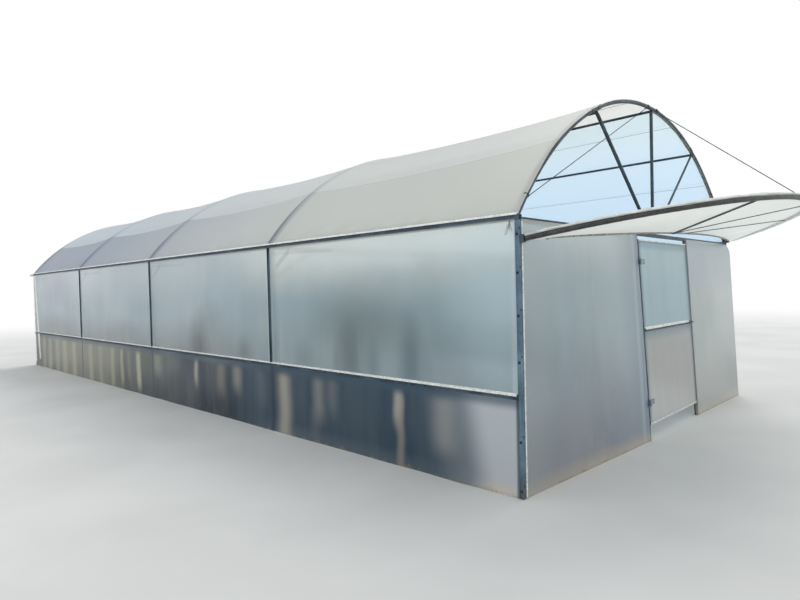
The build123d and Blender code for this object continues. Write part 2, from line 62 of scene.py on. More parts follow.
# Counts, and sizes in metres, read from the frame or as in the part
BAYS = 4
WAVES = 9
SIDES = (("left", -1), ("right", 1))
SEAT_GAP = 0.0003
ARCH_PIPE = 0.021
PURLIN_PIPE = 0.016
FILM_LAP = 0.0235  # film's surface from the centre of an arch pipe
UPPER_WIRE, LOWER_WIRE = 0.73, 2.14  # roof wires, out from the middle
VENT_PIPE = 0.024
VENT_STANDOFF = 0.07
VENT_LEFT, VENT_RIGHT = 2.217, 2.445  # heights of the flap's hinge line
VENT_TILT = math.radians(12)
VENT_HALF, VENT_RISE = 3.01, 1.505
BAR_BOW = 0.284
STAY_X = 0.15
LINE_ENDS = (-0.11, -2.86)
LEAF_TOP_GAP, LEAF_GROUND_GAP = 0.045, 0.17


def middle(node):
    low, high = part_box(node)
    return (low + high) / 2


front, rear = middle("front_tie").y, middle("rear_tie").y
half = middle("front_right_post").x
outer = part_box("front_right_post")[1].x
bay = (rear - front) / BAYS
eave_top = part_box("left_eave_rail")[1].z
tie_under, tie_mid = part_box("front_tie")[0].z, middle("front_tie").z
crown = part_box("arch_1")[1].z - ARCH_PIPE
arch_r = (half**2 + (crown - eave_top) ** 2) / (2 * (crown - eave_top))
arch_z = crown - arch_r
spring = math.asin(half / arch_r)
mid_rail = middle("left_mid_rail").z
lean = front - 0.024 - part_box("front_film_left")[0].y
lean_angle = math.atan2(lean, tie_mid)
leaf_low, leaf_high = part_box("door_film")
door_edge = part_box("door_post_left")[1].x
purlin_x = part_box("side_purlins")[1].x - PURLIN_PIPE


# Mesh tools
def points(x, y, z):
    return np.stack(np.broadcast_arrays(x, y, z), -1)


def lattice(rows, cols, start=0, loop=False):
    faces = []
    for r in range(rows - 1):
        for c in range(cols if loop else cols - 1):
            d = (c + 1) % cols
            faces.append((start + r * cols + c, start + r * cols + d,
                          start + (r + 1) * cols + d, start + (r + 1) * cols + c))
    return faces


def piece(name, verts, faces, paint, smooth=True, stands_for=(), body="tunnel"):
    mesh = bpy.data.meshes.new(name)
    mesh.from_pydata([tuple(map(float, v)) for v in verts], [], faces)
    mesh.update()
    mesh.polygons.foreach_set("use_smooth", [smooth] * len(mesh.polygons))
    made = bpy.data.objects.new(name, mesh)
    scene.collection.objects.link(made)
    mesh.materials.append(paint)
    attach(made, body)
    if stands_for:
        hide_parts(*stands_for)
    return made


def sheet(name, rows, paint, flip=False, stands_for=(), body="tunnel"):
    """A single surface through rows of places."""
    grid = np.array(rows)
    faces = lattice(*grid.shape[:2])
    if flip:
        faces = [face[::-1] for face in faces]
    return piece(name, grid.reshape(-1, 3), faces, paint, stands_for=stands_for, body=body)


def sideways(way):
    return np.cross(way, (0, 0, 1) if abs(way[2]) < 0.9 else (0, 1, 0))


def square_to(way):
    """A direction made one long, and two square to it."""
    way = np.array(way, float)
    way /= np.linalg.norm(way)
    a = sideways(way)
    a /= np.linalg.norm(a)
    return way, a, np.cross(way, a)


def frames_along(path):
    """Two directions square to a path at each of its points, with no twist."""
    way = np.gradient(path, axis=0)
    way /= np.linalg.norm(way, axis=1)[:, None]
    side = sideways(way[0])
    sides = []
    for w in way:
        side = side - w * np.dot(side, w)
        side /= np.linalg.norm(side)
        sides.append(side)
    sides = np.array(sides)
    return sides, np.cross(way, sides)


class Bag:
    """Gathers tubes and turned pieces into one mesh."""

    def __init__(self):
        self.verts, self.faces = [], []

    def cap(self, around):
        """Closes the last ring."""
        self.faces.append(tuple(range(len(self.verts) - around, len(self.verts))))

    def tube(self, path, radius, around):
        """A closed tube; radius is one number, or one for each point of each ring."""
        a, b = frames_along(path)
        angle = np.arange(around)[:, None] * 2 * np.pi / around
        radius = np.broadcast_to(radius, (len(path), around))
        ring = path[:, None] + radius[..., None] * (np.cos(angle) * a[:, None] + np.sin(angle) * b[:, None])
        start = len(self.verts)
        self.verts += list(ring.reshape(-1, 3))
        self.faces += lattice(len(path), around, start, True)
        self.faces.append(tuple(range(start, start + around))[::-1])
        self.cap(around)

    def turned(self, place, way, profile, around):
        """A turned piece: profile is a list of (radius, height) from its base."""
        way, a, b = square_to(way)
        start = len(self.verts)
        for radius, height in profile:
            for k in range(around):
                t = 2 * math.pi * k / around
                self.verts.append(place + way * height + radius * (math.cos(t) * a + math.sin(t) * b))
        self.faces += lattice(len(profile), around, start, True)
        self.cap(around)

    def made(self, name, paint, slot, smooth=True, stands_for=()):
        return piece(name, self.verts, self.faces, paint, smooth, stands_for)


def waves(a, b, per_metre, seed):
    """Smooth waviness from about -1 to 1 over two arrays of places."""
    pick = np.random.default_rng(seed)
    total = np.zeros(np.broadcast(a, b).shape)
    for _ in range(WAVES):
        way, rate = pick.uniform(0, 2 * np.pi), per_metre * pick.uniform(0.55, 1.6)
        total += np.sin(2 * np.pi * rate * (a * np.cos(way) + b * np.sin(way)) + pick.uniform(0, 2 * np.pi))
    return total / (0.55 * WAVES)


def ease(value, low, high):
    t = np.clip((value - low) / (high - low), 0, 1)
    return t * t * (3 - 2 * t)


def arc(t):
    """0 at 0 and 1, rising to 1 between them."""
    return np.sin(np.pi * np.clip(t, 0, 1)).clip(0, 1)


# Materials
def rgb(tone):
    """A tone of three numbers up to 255, as light."""
    shares = [c / 255 for c in tone]
    return (*[c / 12.92 if c <= 0.04045 else ((c + 0.055) / 1.055) ** 2.4 for c in shares], 1)


class Nodes:
    """Adds nodes to one tree and joins them."""

    def __init__(self, owner):
        owner.use_nodes = True
        self.tree = owner.node_tree
        self.tree.nodes.clear()

    def add(self, kind, *values, **settings):
        """A node with its settings, and values for its first sockets."""
        n = self.tree.nodes.new("ShaderNode" + kind)
        for key, value in settings.items():
            setattr(n, key, value)
        for value, socket in zip(values, n.inputs):
            self.join(value, socket)
        return n

    def join(self, a, b):
        """Links an output to a socket, or gives the socket a value or a tone."""
        if hasattr(a, "is_output"):
            self.tree.links.new(a, b)
        else:
            b.default_value = rgb(a) if b.type == "RGBA" else a

    def math(self, operation, a, b=0.0):
        return self.add("Math", a, b, operation=operation).outputs[0]

    def times(self, a, b):
        return self.math("MULTIPLY", a, b)

    def blend(self, share, a, b):
        """Between two shaders."""
        return self.add("MixShader", share, a, b).outputs[0]

    def seen(self):
        """1 for rays from the camera, off a shiny surface or through one."""
        kind = self.add("LightPath").outputs
        past = self.math("MAXIMUM", kind["Is Glossy Ray"], kind["Is Transmission Ray"])
        return self.math("MAXIMUM", kind["Is Camera Ray"], past)


class Paint(Nodes):
    """A node material on one Principled shader, read by object coordinates."""

    def __init__(self, name, **sockets):
        self.mat = bpy.data.materials.new(name)
        super().__init__(self.mat)
        self.out = self.add("OutputMaterial").inputs[0]
        self.shader = self.add("BsdfPrincipled")
        self.join(self.shader.outputs[0], self.out)
        self.place = self.add("TexCoord").outputs["Object"]
        self.x, self.y, self.z = self.add("SeparateXYZ", self.place).outputs
        self.base = self.height = None
        for key, value in sockets.items():
            self.shader.inputs[key.replace("_", " ")].default_value = value

    def ramp(self, value, low, high, to_low=0.0, to_high=1.0):
        return self.add("MapRange", value, low, high, to_low, to_high, interpolation_type="SMOOTHSTEP").outputs[0]

    def across(self, low, high, *ends):
        return self.ramp(self.x, low, high, *ends)

    def back(self, low, high, *ends):
        """A ramp along the tunnel, from places measured from its front."""
        return self.ramp(self.y, front + low, front + high, *ends)

    def up(self, low, high, *ends):
        return self.ramp(self.z, low, high, *ends)

    def line(self, value, place, core, reach):
        """1 within core of a place, falling to 0 at reach."""
        off = self.math("ABSOLUTE", self.math("SUBTRACT", value, place))
        return self.ramp(off, core, reach, 1.0, 0.0)

    def near_arch(self, shift, reach, core):
        """1 at each arch, or shift behind it, falling to 0 at reach; core is the part of reach that stays 1."""
        place = self.math("SUBTRACT", self.y, front + shift - bay / 2)
        wrapped = self.math("SUBTRACT", self.math("FLOORED_MODULO", place, bay), bay / 2)
        return self.ramp(self.math("ABSOLUTE", wrapped), self.times(reach, core), reach, 1.0, 0.0)

    def slant(self, away, first, last, half_wide):
        """1 along a line drawn from one (away, height) to another, with away a distance already made."""
        (a, low), (b, high) = first, last
        rise = (high - low) / (b - a)
        line = self.line(self.z, self.math("ADD", self.times(away, rise), low - rise * a), half_wide * 0.3, half_wide)
        inside = self.times(self.ramp(away, a - 0.04, a + 0.04), self.ramp(away, b - 0.04, b + 0.04, 1.0, 0.0))
        return self.times(line, inside)

    def patch(self, centre, radii):
        """1 at centre, falling smoothly to 0 at radii away from it."""
        n = self.add("VectorMath", self.place, centre, operation="SUBTRACT")
        n = self.add("VectorMath", n.outputs[0], radii, operation="DIVIDE")
        n = self.add("VectorMath", n.outputs[0], operation="LENGTH")
        return self.ramp(n.outputs["Value"], 0.0, 1.0, 1.0, 0.0)

    def noise(self, scale, stretch=(1, 1, 1), detail=3.0, rough=0.5, warp=0.0, shift=0.0):
        spot = self.add("Mapping", self.place, (shift, shift * 1.7, shift * 0.6), (0, 0, 0), stretch)
        n = self.add("TexNoise", spot.outputs[0])
        for key, v in (("Scale", scale), ("Detail", detail), ("Roughness", rough), ("Distortion", warp)):
            n.inputs[key].default_value = v
        return n.outputs["Fac"]

    def mix(self, share, a, b):
        """Between two colours, each a tone or one made before."""
        n = self.add("Mix", share, data_type="RGBA")
        self.join(a, n.inputs[6])
        self.join(b, n.inputs[7])
        return n.outputs[2]

    def tint(self, share, tone, part=None):
        """Lays a tone over the base by a share, or by a part of it."""
        self.base = self.mix(share if part is None else self.times(share, part), self.base, tone)

    def rough(self, value):
        self.join(value, self.shader.inputs["Roughness"])

    def bump(self, height, depth, strength=1.0):
        n = self.add("Bump", strength, depth)
        self.join(height, n.inputs["Height"])
        if self.height:
            self.join(self.height, n.inputs["Normal"])
        self.height = n.outputs[0]
        self.join(self.height, self.shader.inputs["Normal"])

    def glow(self, share, tone):
        """Lets a share of the light on the far side through, scattered, as milky film does."""
        through = self.add("BsdfTranslucent", tone, self.height)
        self.join(self.blend(share, self.shader.outputs[0], through.outputs[0]), self.out)

    def done(self):
        self.join(self.base, self.shader.inputs["Base Color"])
        return self.mat


def steel(name, light, dark, metal=0.35):
    p = Paint(name, Metallic=metal)
    spangle = p.noise(38, rough=0.6)
    cloud = p.noise(3.2, detail=4, rough=0.6, shift=3)
    streak = p.noise(9, (1, 1, 0.12), shift=7)
    p.base = p.mix(p.ramp(cloud, 0.35, 0.68), dark, light)
    p.tint(p.ramp(streak, 0.55, 0.75, 0, 0.4), [c + 26 for c in light])
    p.tint(p.ramp(spangle, 0.52, 0.72, 0, 0.3), [c * 0.62 for c in dark])
    p.tint(p.up(0.02, 0.28, 1, 0), (96, 84, 70), p.ramp(cloud, 0.35, 0.6, 0.3, 0.9))
    p.rough(p.ramp(spangle, 0.3, 0.8, 0.38, 0.62))
    p.bump(spangle, 0.0006, 0.5)
    return p.done()


def wire_paint_made():
    p = Paint("bright_wire", Metallic=0.5)
    spots = p.noise(60, detail=2)
    p.base = p.mix(p.ramp(spots, 0.4, 0.7), (120, 128, 134), (84, 92, 98))
    p.rough(p.ramp(spots, 0.3, 0.7, 0.35, 0.6))
    p.bump(spots, 0.0002)
    return p.done()


def film_base(name, through, rough_low, rough_high, ior=1.12):
    """The thin film's shared finish: soft haze, faint creases and a fine grain."""
    p = Paint(name, IOR=ior, Transmission_Weight=through, Specular_IOR_Level=0.3)
    grain = p.noise(420, detail=1)
    crease = p.noise(5.0, (1, 1, 0.35), rough=0.55, warp=0.6, shift=2)
    p.cloud = p.noise(0.75, shift=5)
    p.streak = p.noise(2.6, (1, 1, 0.1), detail=4, rough=0.6, shift=9)
    p.rough(p.ramp(p.cloud, 0.3, 0.7, rough_low, rough_high))
    p.bump(crease, 0.01, 0.16)
    p.bump(grain, 0.0006, 0.25)
    return p


def soil_on(p, high, share, tone=(104, 88, 70)):
    """Splashed soil on the lowest part."""
    spots = p.noise(11, (1, 1, 0.6), detail=5, rough=0.7, shift=4)
    line = p.math("ADD", p.up(0, high, 1, 0), p.ramp(spots, 0.4, 0.75, -0.55, 0.35))
    p.tint(p.ramp(line, 0.25, 0.95), tone, share)


def roof_paint_made(name, bands):
    """Roof film; bands is how strongly the painted shade of the arches shows on it."""
    p = film_base(name, 0.0, 0.45, 0.58, ior=1.3)
    # painted light: the film is painted cooler and darker towards the rear, for the sky reflected at a grazing angle
    far = p.ramp(p.y, front + 1.5, rear - 4.0)
    under = p.mix(far, (236, 235, 227), (194, 200, 211))
    over = p.mix(far, (246, 245, 240), (228, 234, 240))
    # the film folds a little outside the lower wire; below the fold it is painted darker, as painted shade on the
    # lower facet, with a painted shade line along the fold
    slope = p.ramp(p.y, front, rear, 0.763, 0.79)
    below = p.math("SUBTRACT", p.math("ABSOLUTE", p.x), p.times(p.math("SUBTRACT", p.z, arch_z), slope))
    p.base = p.mix(p.ramp(below, -0.02, 0.04, 1, 0), under, over)
    crease_shade_tone = (162, 166, 166)
    p.tint(p.line(below, 0, 0.002, 0.014), crease_shade_tone, p.across(-0.1, 0.1, 0.35, 0))
    p.tint(p.ramp(p.cloud, 0.35, 0.65, 0, 0.15), (228, 227, 222))
    p.tint(p.times(p.up(2.42, 2.7, 1, 0), p.ramp(p.streak, 0.4, 0.7)), (190, 184, 170), 0.18)
    # painted light: the right half is painted near white, fading in over the crest, for the film glowing with light
    # from behind
    p.tint(p.across(-0.45, 0), (252, 253, 250))
    # painted shade of each arch under the film, softer on the front side, where the film lifts off it
    reach = p.ramp(p.y, front, rear, 0.036, 0.13)
    lifting = p.near_arch(-0.045, p.times(reach, 2.0), 0.1)
    pipe = p.math("MAXIMUM", p.near_arch(0, reach, 0.5), p.times(lifting, 0.6))
    pipe = p.times(p.times(pipe, p.up(2.5, 3.5, bands, bands * 0.25)), p.back(0.05, 0.6))
    p.tint(pipe, (126, 139, 160))
    # painted shade: a faint grey line along each wire under the film
    for place in (LOWER_WIRE, -UPPER_WIRE, UPPER_WIRE):
        p.tint(p.line(p.x, place, 0.002, 0.014), crease_shade_tone, 0.3)
    # painted sky light: the light let through the right half is painted blue, for clear sky shining through it
    sky = p.mix(p.across(0.1, 2.4), (222, 243, 252), (204, 232, 255))
    through = p.mix(p.times(p.across(0, 0.25), p.math("SUBTRACT", 1, pipe)), p.base, sky)
    p.glow(p.across(0, 1.6, 0.5, 0.6), through)
    return p.done()


# Painted light and shade on the side walls, soft patches for what the milky film lets through: place from the front,
# height, half sizes, share and tone
WALL_LIGHT_AND_SHADE = [
    (0.3, 1.15, 0.5, 0.5, 0.45, 190, 210, 218), (3.95, 1.4, 0.25, 0.55, 0.4, 194, 198, 194),
    (0.2, 1.6, 0.85, 1.0, 0.8, 206, 230, 236), (5.0, 1.7, 0.9, 0.6, 0.35, 166, 188, 198),
    (9.0, 1.85, 1.5, 0.6, 0.35, 160, 180, 192), (12.9, 2.0, 1.9, 0.8, 0.9, 120, 132, 158),
    (1.9, 1.6, 1.35, 0.6, 0.5, 126, 140, 144), (2.05, 1.38, 0.95, 0.55, 0.55, 108, 116, 113),
    (2.62, 1.12, 0.24, 0.4, 0.45, 172, 172, 160), (2.18, 1.0, 0.38, 0.68, 0.92, 68, 78, 82),
    (1.81, 0.98, 0.19, 0.5, 0.65, 74, 88, 92), (1.25, 1.02, 0.28, 0.8, 0.92, 72, 92, 104),
    (3.06, 0.98, 0.3, 0.34, 0.6, 104, 110, 108), (0.7, 0.95, 0.55, 0.24, 0.4, 166, 170, 178),
    (1.52, 1.12, 0.1, 0.5, 0.5, 160, 166, 168), (3.52, 1.15, 0.07, 0.45, 0.4, 192, 202, 200),
    (1.35, 2.11, 0.16, 0.1, 0.45, 214, 222, 222), (2.02, 1.14, 0.06, 0.46, 0.45, 150, 158, 146),
    (1.03, 1.0, 0.12, 0.44, 0.4, 110, 120, 126), (2.42, 0.95, 0.13, 0.4, 0.45, 98, 106, 106),
    (5.75, 1.0, 0.5, 0.7, 0.95, 46, 54, 54), (5.35, 1.4, 0.6, 0.44, 0.5, 108, 120, 122),
    (4.42, 0.98, 0.34, 0.34, 0.7, 98, 106, 106), (8.7, 1.08, 0.9, 0.4, 0.6, 112, 118, 116),
    (9.5, 0.98, 0.6, 0.3, 0.55, 120, 124, 120), (13.0, 1.08, 1.6, 0.44, 0.65, 120, 121, 120)]
# Streaks on the skirts: place from the front, half width, foot, head, share and tone
SKIRT_STREAKS = [
    (0.84, 0.22, 0.25, 0.84, 0.6, 160, 162, 160), (0.61, 0.08, 0.4, 0.8, 0.35, 132, 140, 144),
    (1.45, 0.09, 0.45, 0.84, 0.8, 190, 188, 178), (1.42, 0.075, -0.2, 0.8, 0.6, 158, 148, 136),
    (2.76, 0.16, 0.3, 0.86, 0.5, 158, 158, 150), (2.84, 0.16, -0.2, 0.5, 0.35, 112, 116, 120),
    (2.5, 0.14, 0.4, 0.86, 0.35, 136, 140, 138), (3.48, 0.19, -0.2, 0.84, 0.66, 188, 180, 164),
    (4.0, 0.18, 0.3, 0.84, 0.25, 120, 130, 136), (4.61, 0.17, 0.45, 0.86, 0.6, 158, 156, 144),
    (5.06, 0.16, 0.35, 0.86, 0.5, 144, 134, 122), (5.84, 0.09, 0.42, 0.84, 0.75, 178, 172, 156),
    (6.6, 0.5, 0.5, 0.9, 0.35, 120, 124, 118), (7.3, 0.24, 0.45, 0.86, 0.6, 156, 158, 142),
    (8.12, 0.14, 0.1, 0.84, 0.8, 192, 188, 164), (8.57, 0.12, 0.2, 0.86, 0.35, 150, 148, 134),
    (8.93, 0.12, 0.1, 0.86, 0.65, 180, 174, 150), (9.43, 0.14, 0.0, 0.86, 0.6, 174, 170, 148),
    (10.1, 0.16, -0.1, 0.86, 0.5, 170, 164, 142), (10.7, 0.18, -0.1, 0.86, 0.6, 178, 172, 146),
    (11.8, 0.2, -0.1, 0.86, 0.6, 180, 176, 152), (12.5, 0.26, -0.1, 0.86, 0.6, 182, 176, 148),
    (13.1, 0.22, -0.1, 0.86, 0.5, 180, 176, 150), (13.7, 0.24, -0.1, 0.86, 0.55, 178, 174, 150),
    (14.2, 0.22, -0.1, 0.86, 0.5, 174, 172, 150)]


def wall_paint_made():
    p = film_base("wall_film", 0.34, 0.34, 0.5)
    # painted light and shade: the film is paler towards the top, darker low down, and greyer further back
    wander = p.math("ADD", p.z, p.ramp(p.cloud, 0.3, 0.7, -0.1, 0.1))
    far = p.back(3.4, 5.2)
    top = p.mix(far, (226, 228, 219), (180, 192, 198))
    p.base = p.mix(p.ramp(wander, 1.6, 2.3), p.mix(far, (160, 180, 186), (158, 175, 183)), top)
    p.tint(p.ramp(wander, 0.9, 1.5, 0.75, 0), p.mix(far, (150, 164, 170), (126, 130, 128)))
    # painted light and shade: soft patches for what the milky film lets through
    for y, z, wide, high, share, *tone in WALL_LIGHT_AND_SHADE:
        p.tint(p.patch((0, front + y, z), (9, wide, high)), tone, share)
    # painted shade: faint streaks, strongest low down, for dark shapes behind the film
    fine = p.mix(p.ramp(p.streak, 0.3, 0.7), (132, 144, 148), (186, 198, 202))
    p.tint(p.up(0.9, 1.9, 0.14, 0.03), fine)
    # painted shade of the braces and ties behind the film, and the film's paler strip beside each post
    away = p.math("FLOORED_MODULO", p.math("SUBTRACT", rear, p.y), bay)
    p.tint(p.slant(away, (0.16, 2.13), (0.46, 2.32), 0.055), (120, 138, 150), 0.3)
    p.tint(p.slant(away, (0.1, 2.3), (1.3, 2.275), 0.028), (128, 144, 152), 0.16)
    p.tint(p.near_arch(0, 0.085, 0.5), (206, 218, 222), 0.55)
    soil_on(p, 0.2, 0.5)
    return p.done()


def skirt_paint_made():
    p = film_base("skirt_film", 0.26, 0.34, 0.5)
    # painted shade: the skirt is painted dark blue-grey for the shade behind the film, darkest low down in the middle
    # bays, paler further back and at the foot near the front
    p.base = p.mix(p.back(4.2, 5.1), (52, 70, 86), (34, 50, 64))
    p.tint(p.back(6.0, 8.4), (86, 91, 84))
    p.tint(p.times(p.back(8.8, 9.8), p.back(12.0, 14.0, 0.6, 0.1)), (150, 147, 131))
    low = p.times(p.back(3.8, 5.4), p.back(8.0, 10.0, 1, 0.4))
    p.tint(p.up(0.05, 0.5, 0.7, 0), (14, 26, 40), low)
    p.tint(p.ramp(p.streak, 0.4, 0.66, 0, 0.14), (120, 130, 132))
    p.tint(p.up(0.02, 0.2, 0.38, 0), (104, 116, 126), p.back(3.6, 4.2, 1, 0.08))
    # painted light: a bright end beside the front corner, warm and pale at its foot
    leaning = p.math("ADD", p.y, p.times(p.z, -0.2))
    for first, last, share in ((0.45, 1.05, 0.3), (0.2, 0.56, 1.0)):
        p.tint(p.ramp(leaning, front + first, front + last, share, 0), (192, 197, 203))
    p.tint(p.patch((0, front + 0.2, 0.0), (9, 0.42, 0.16)), (226, 208, 180), 0.75)
    wander = p.math("ADD", p.y, p.ramp(p.noise(1.4, (1, 0.2, 1), 2, shift=8), 0.2, 0.8, -0.025, 0.025))
    for y, wide, foot, head, share, *tone in SKIRT_STREAKS:
        streak = p.times(p.line(wander, front + y, 0, wide * 1.2), p.up(foot - 0.16, foot + 0.16))
        p.tint(streak, tone, p.up(head - 0.16, head, share, 0))
    # painted shadow under the mid rail
    p.tint(p.up(0.73, 0.82, 0, 0.7), (66, 86, 104))
    # painted shade of each post behind the film
    p.tint(p.near_arch(0, 0.05, 0.45), (46, 66, 80), 0.75)
    soil_on(p, 0.08, p.back(3.8, 4.4, 0.4, 0.1), (150, 134, 108))
    return p.done()


def front_paint_made():
    p = film_base("front_film", 0.34, 0.36, 0.5)
    # painted light and shade: darker low down and paler towards the top
    p.base = p.mix(p.up(0.3, 1.5), (126, 131, 143), (156, 175, 182))
    p.tint(p.up(1.8, 2.3, 0, 0.75), (198, 202, 197))
    p.tint(p.across(-2.95, -2.3, 1, 0), (172, 178, 176), 0.5)
    right = p.mix(p.up(0.3, 1.2), (178, 171, 152), (208, 210, 198))
    p.tint(p.across(0.2, 0.8), p.mix(p.up(1.5, 2.0), right, (184, 192, 190)))
    p.tint(p.ramp(p.cloud, 0.35, 0.68, 0, 0.22), (172, 184, 188))
    p.tint(p.ramp(p.streak, 0.45, 0.7, 0, 0.05), (132, 142, 148))
    p.tint(p.across(door_edge - 0.9, door_edge - 0.1, 0, 0.5), (120, 142, 156))
    right_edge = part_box("door_post_right")[0].x
    # painted highlight and painted shade where the left film wraps round its door post, then a brownish line at the
    # right film's edge
    for place, wide, share, tone in ((door_edge - 0.16, 0.07, 0.5, (172, 192, 206)),
                                     (door_edge - 0.045, 0.055, 0.75, (104, 130, 154)),
                                     (right_edge + 0.015, 0.03, 0.55, (140, 138, 130))):
        p.tint(p.line(p.x, place, 0.006, wide), tone, share)
    pale = p.math("ADD", p.up(0, 0.2, 0.6, 0), p.ramp(p.cloud, 0.3, 0.7, -0.12, 0.08))
    p.tint(p.math("MAXIMUM", pale, 0.0), (196, 180, 158))
    soil_on(p, 0.06, 0.5, (140, 122, 98))
    return p.done()


def door_paint_made():
    p = film_base("door_film", 0.32, 0.34, 0.5)
    upper = (190, 210, 216)
    p.base = p.mix(p.up(1, 1.6), (206, 205, 201), upper)
    # painted shade under the middle channel
    p.tint(p.up(1.1, 1.24, 0, 0.55), (140, 156, 166))
    p.tint(p.up(1.27, 1.29), upper)
    # painted shade under the top hem
    p.tint(p.up(2.18, 2.26, 0, 0.5), (140, 158, 168))
    p.tint(p.ramp(p.streak, 0.42, 0.7, 0, 0.12), (150, 162, 168))
    centre, wide = (leaf_low.x + leaf_high.x) / 2, (leaf_high.x - leaf_low.x) / 2
    off = p.math("ABSOLUTE", p.math("SUBTRACT", p.x, centre))
    p.tint(p.ramp(off, wide - 0.085, wide - 0.02, 0, 0.5), (138, 164, 186))
    soil_on(p, 0.34, 0.35, (150, 136, 116))
    return p.done()


def vent_paint_made():
    p = film_base("vent_film", 0.0, 0.5, 0.65, ior=1.3)
    p.base = p.mix(p.ramp(p.cloud, 0.3, 0.7), (232, 236, 232), (240, 243, 240))
    p.tint(p.ramp(p.streak, 0.5, 0.75, 0, 0.12), (226, 225, 218))
    p.glow(0.55, p.base)
    return p.done()


def hem_paint_made(name, crest_tone, worn, grubby, through=0.0):
    """Crumpled film at an edge, paler on the crests of its crumples, darker in their hollows, and grubby in patches.
    """
    p = Paint(name, IOR=1.3)
    fold = p.noise(26, detail=4, rough=0.65, warp=1.2)
    grub = p.noise(7, rough=0.6, shift=6)
    # paler on the crests and darker in the hollows of the crumples that the bump makes
    p.base = p.mix(p.ramp(fold, 0.38, 0.62), worn, crest_tone)
    p.tint(p.ramp(grub, 0.5, 0.75, 0, grubby), [c * 0.72 for c in worn])
    p.rough(p.ramp(fold, 0.3, 0.7, 0.6, 0.4))
    p.bump(fold, 0.006, 0.8)
    if through:
        p.glow(through, p.base)
    return p.done()


def black_wrap_made():
    p = Paint("black_wrap")
    fold = p.noise(30, detail=4, rough=0.6, warp=0.8)
    dust = p.noise(9, shift=3)
    p.base = p.mix(p.ramp(fold, 0.35, 0.7), (34, 36, 38), (66, 68, 68))
    p.tint(p.ramp(dust, 0.5, 0.75, 0, 0.35), (104, 102, 96))
    p.rough(p.ramp(fold, 0.3, 0.7, 0.32, 0.55))
    p.bump(fold, 0.004, 0.8)
    return p.done()


def rope_paint_made(name, light, dark):
    p = Paint(name)
    fibre = p.noise(160, rough=0.7)
    worn = p.noise(6, detail=2, shift=2)
    p.base = p.mix(p.ramp(fibre, 0.3, 0.7), dark, light)
    p.tint(p.ramp(worn, 0.55, 0.8, 0, 0.4), (148, 140, 124))
    p.rough(p.ramp(fibre, 0.3, 0.7, 0.7, 0.9))
    p.bump(fibre, 0.0006)
    return p.done()


steel_paint = steel("weathered_steel", (104, 131, 150), (76, 101, 120))
dark_steel_paint = steel("dark_steel", (72, 88, 98), (46, 58, 66))
channel_paint = steel("channel_metal", (86, 105, 119), (58, 76, 90), 0.45)
# the door frame's steel, its own colour darkened as painted shade in the gap beside the leaf
leaf_steel_paint = steel("leaf_steel", (48, 58, 68), (34, 42, 50), 0.2)
hinge_paint = steel("hinge_steel", (150, 164, 174), (122, 136, 148), 0.2)
rib_paint = steel("rib_steel", (100, 106, 108), (66, 72, 76), 0.2)
screw_paint = steel("screw_heads", (36, 42, 48), (22, 26, 30), 0.3)
wire_paint = wire_paint_made()
roof_paint, rear_gable_paint = roof_paint_made("roof_film", 0.75), roof_paint_made("rear_gable_film", 0.0)
wall_paint, skirt_paint = wall_paint_made(), skirt_paint_made()
front_paint, door_paint, vent_paint = front_paint_made(), door_paint_made(), vent_paint_made()
hem_paint = hem_paint_made("white_hem", (240, 242, 239), (206, 208, 203), 0.25)
rim_paint = hem_paint_made("rim_film", (254, 255, 254), (238, 240, 236), 0.1)
rim_top_paint = hem_paint_made("rim_top_film", (254, 255, 254), (240, 242, 238), 0.1, 0.5)
bar_hem_paint = hem_paint_made("bar_hem", (182, 178, 168), (128, 122, 112), 0.45)
# the front arch's lining: grime and painted shade, in dark grey-brown
lining_paint = hem_paint_made("lining_grime_and_shade", (168, 166, 154), (112, 110, 102), 0.45)
black_wrap = black_wrap_made()
stay_paint = rope_paint_made("stay_rope", (44, 84, 82), (24, 52, 54))
line_paint = rope_paint_made("line_rope", (56, 68, 78), (30, 38, 46))
twine_paint = rope_paint_made("twine", (150, 140, 118), (96, 88, 72))

# parts of the CAD nodes' names, the last that fits giving the paint
CAD_PAINTS = [(dark_steel_paint, "arch_ door_latch vent_clamps front_tie front_gable door_post purlin"),
              (channel_paint, "channel mid_rail"), (wire_paint, "roof_wires"), (leaf_steel_paint, "door_frame"),
              (black_wrap, "vent_hoop vent_base_bar"), (rib_paint, "vent_ribs"), (hinge_paint, "door_hinge")]
for name, node in nodes.items():
    paint = steel_paint
    for other, parts in CAD_PAINTS:
        if any(part in name for part in parts.split()):
            paint = other
    node.data.materials.clear()
    node.data.materials.append(paint)


# Roof
def arch_place(radius, t, y):
    """Places at an angle from the top, round the line that the arches are bent about."""
    return points(radius * np.sin(t), y, arch_z + radius * np.cos(t))


def arch_height(x, radius=arch_r):
    return arch_z + math.sqrt(radius**2 - x**2)


def bay_hang(y):
    """0 at each arch, rising to 1 in the middle of a bay."""
    u = ((y - front) / bay) % 1.0
    return 4 * u * (1 - u)


film_r = arch_r + FILM_LAP
line_angles = [-spring, *[math.asin(x / (arch_r - 0.02)) for x in (
    -LOWER_WIRE, -purlin_x, -UPPER_WIRE, 0, UPPER_WIRE, purlin_x, LOWER_WIRE)], spring]
spans = list(zip(line_angles, line_angles[1:]))


def turned_down(across, y, way, seed):
    """The roof film's edge, rolled over an end arch to a ragged end."""
    reach = np.radians(46 + 14 * waves(across * 5, 0, 0.9, seed))
    loose = 0.001 + 0.003 * np.abs(waves(across * 8, 0, 1.5, seed + 1))
    rows = []
    for r in np.linspace(0, 1, 7)[1:]:
        rad = FILM_LAP + loose * r
        rows.append(arch_place(arch_r + rad * np.cos(reach * r), across, y + way * rad * np.sin(reach * r)))
    return rows


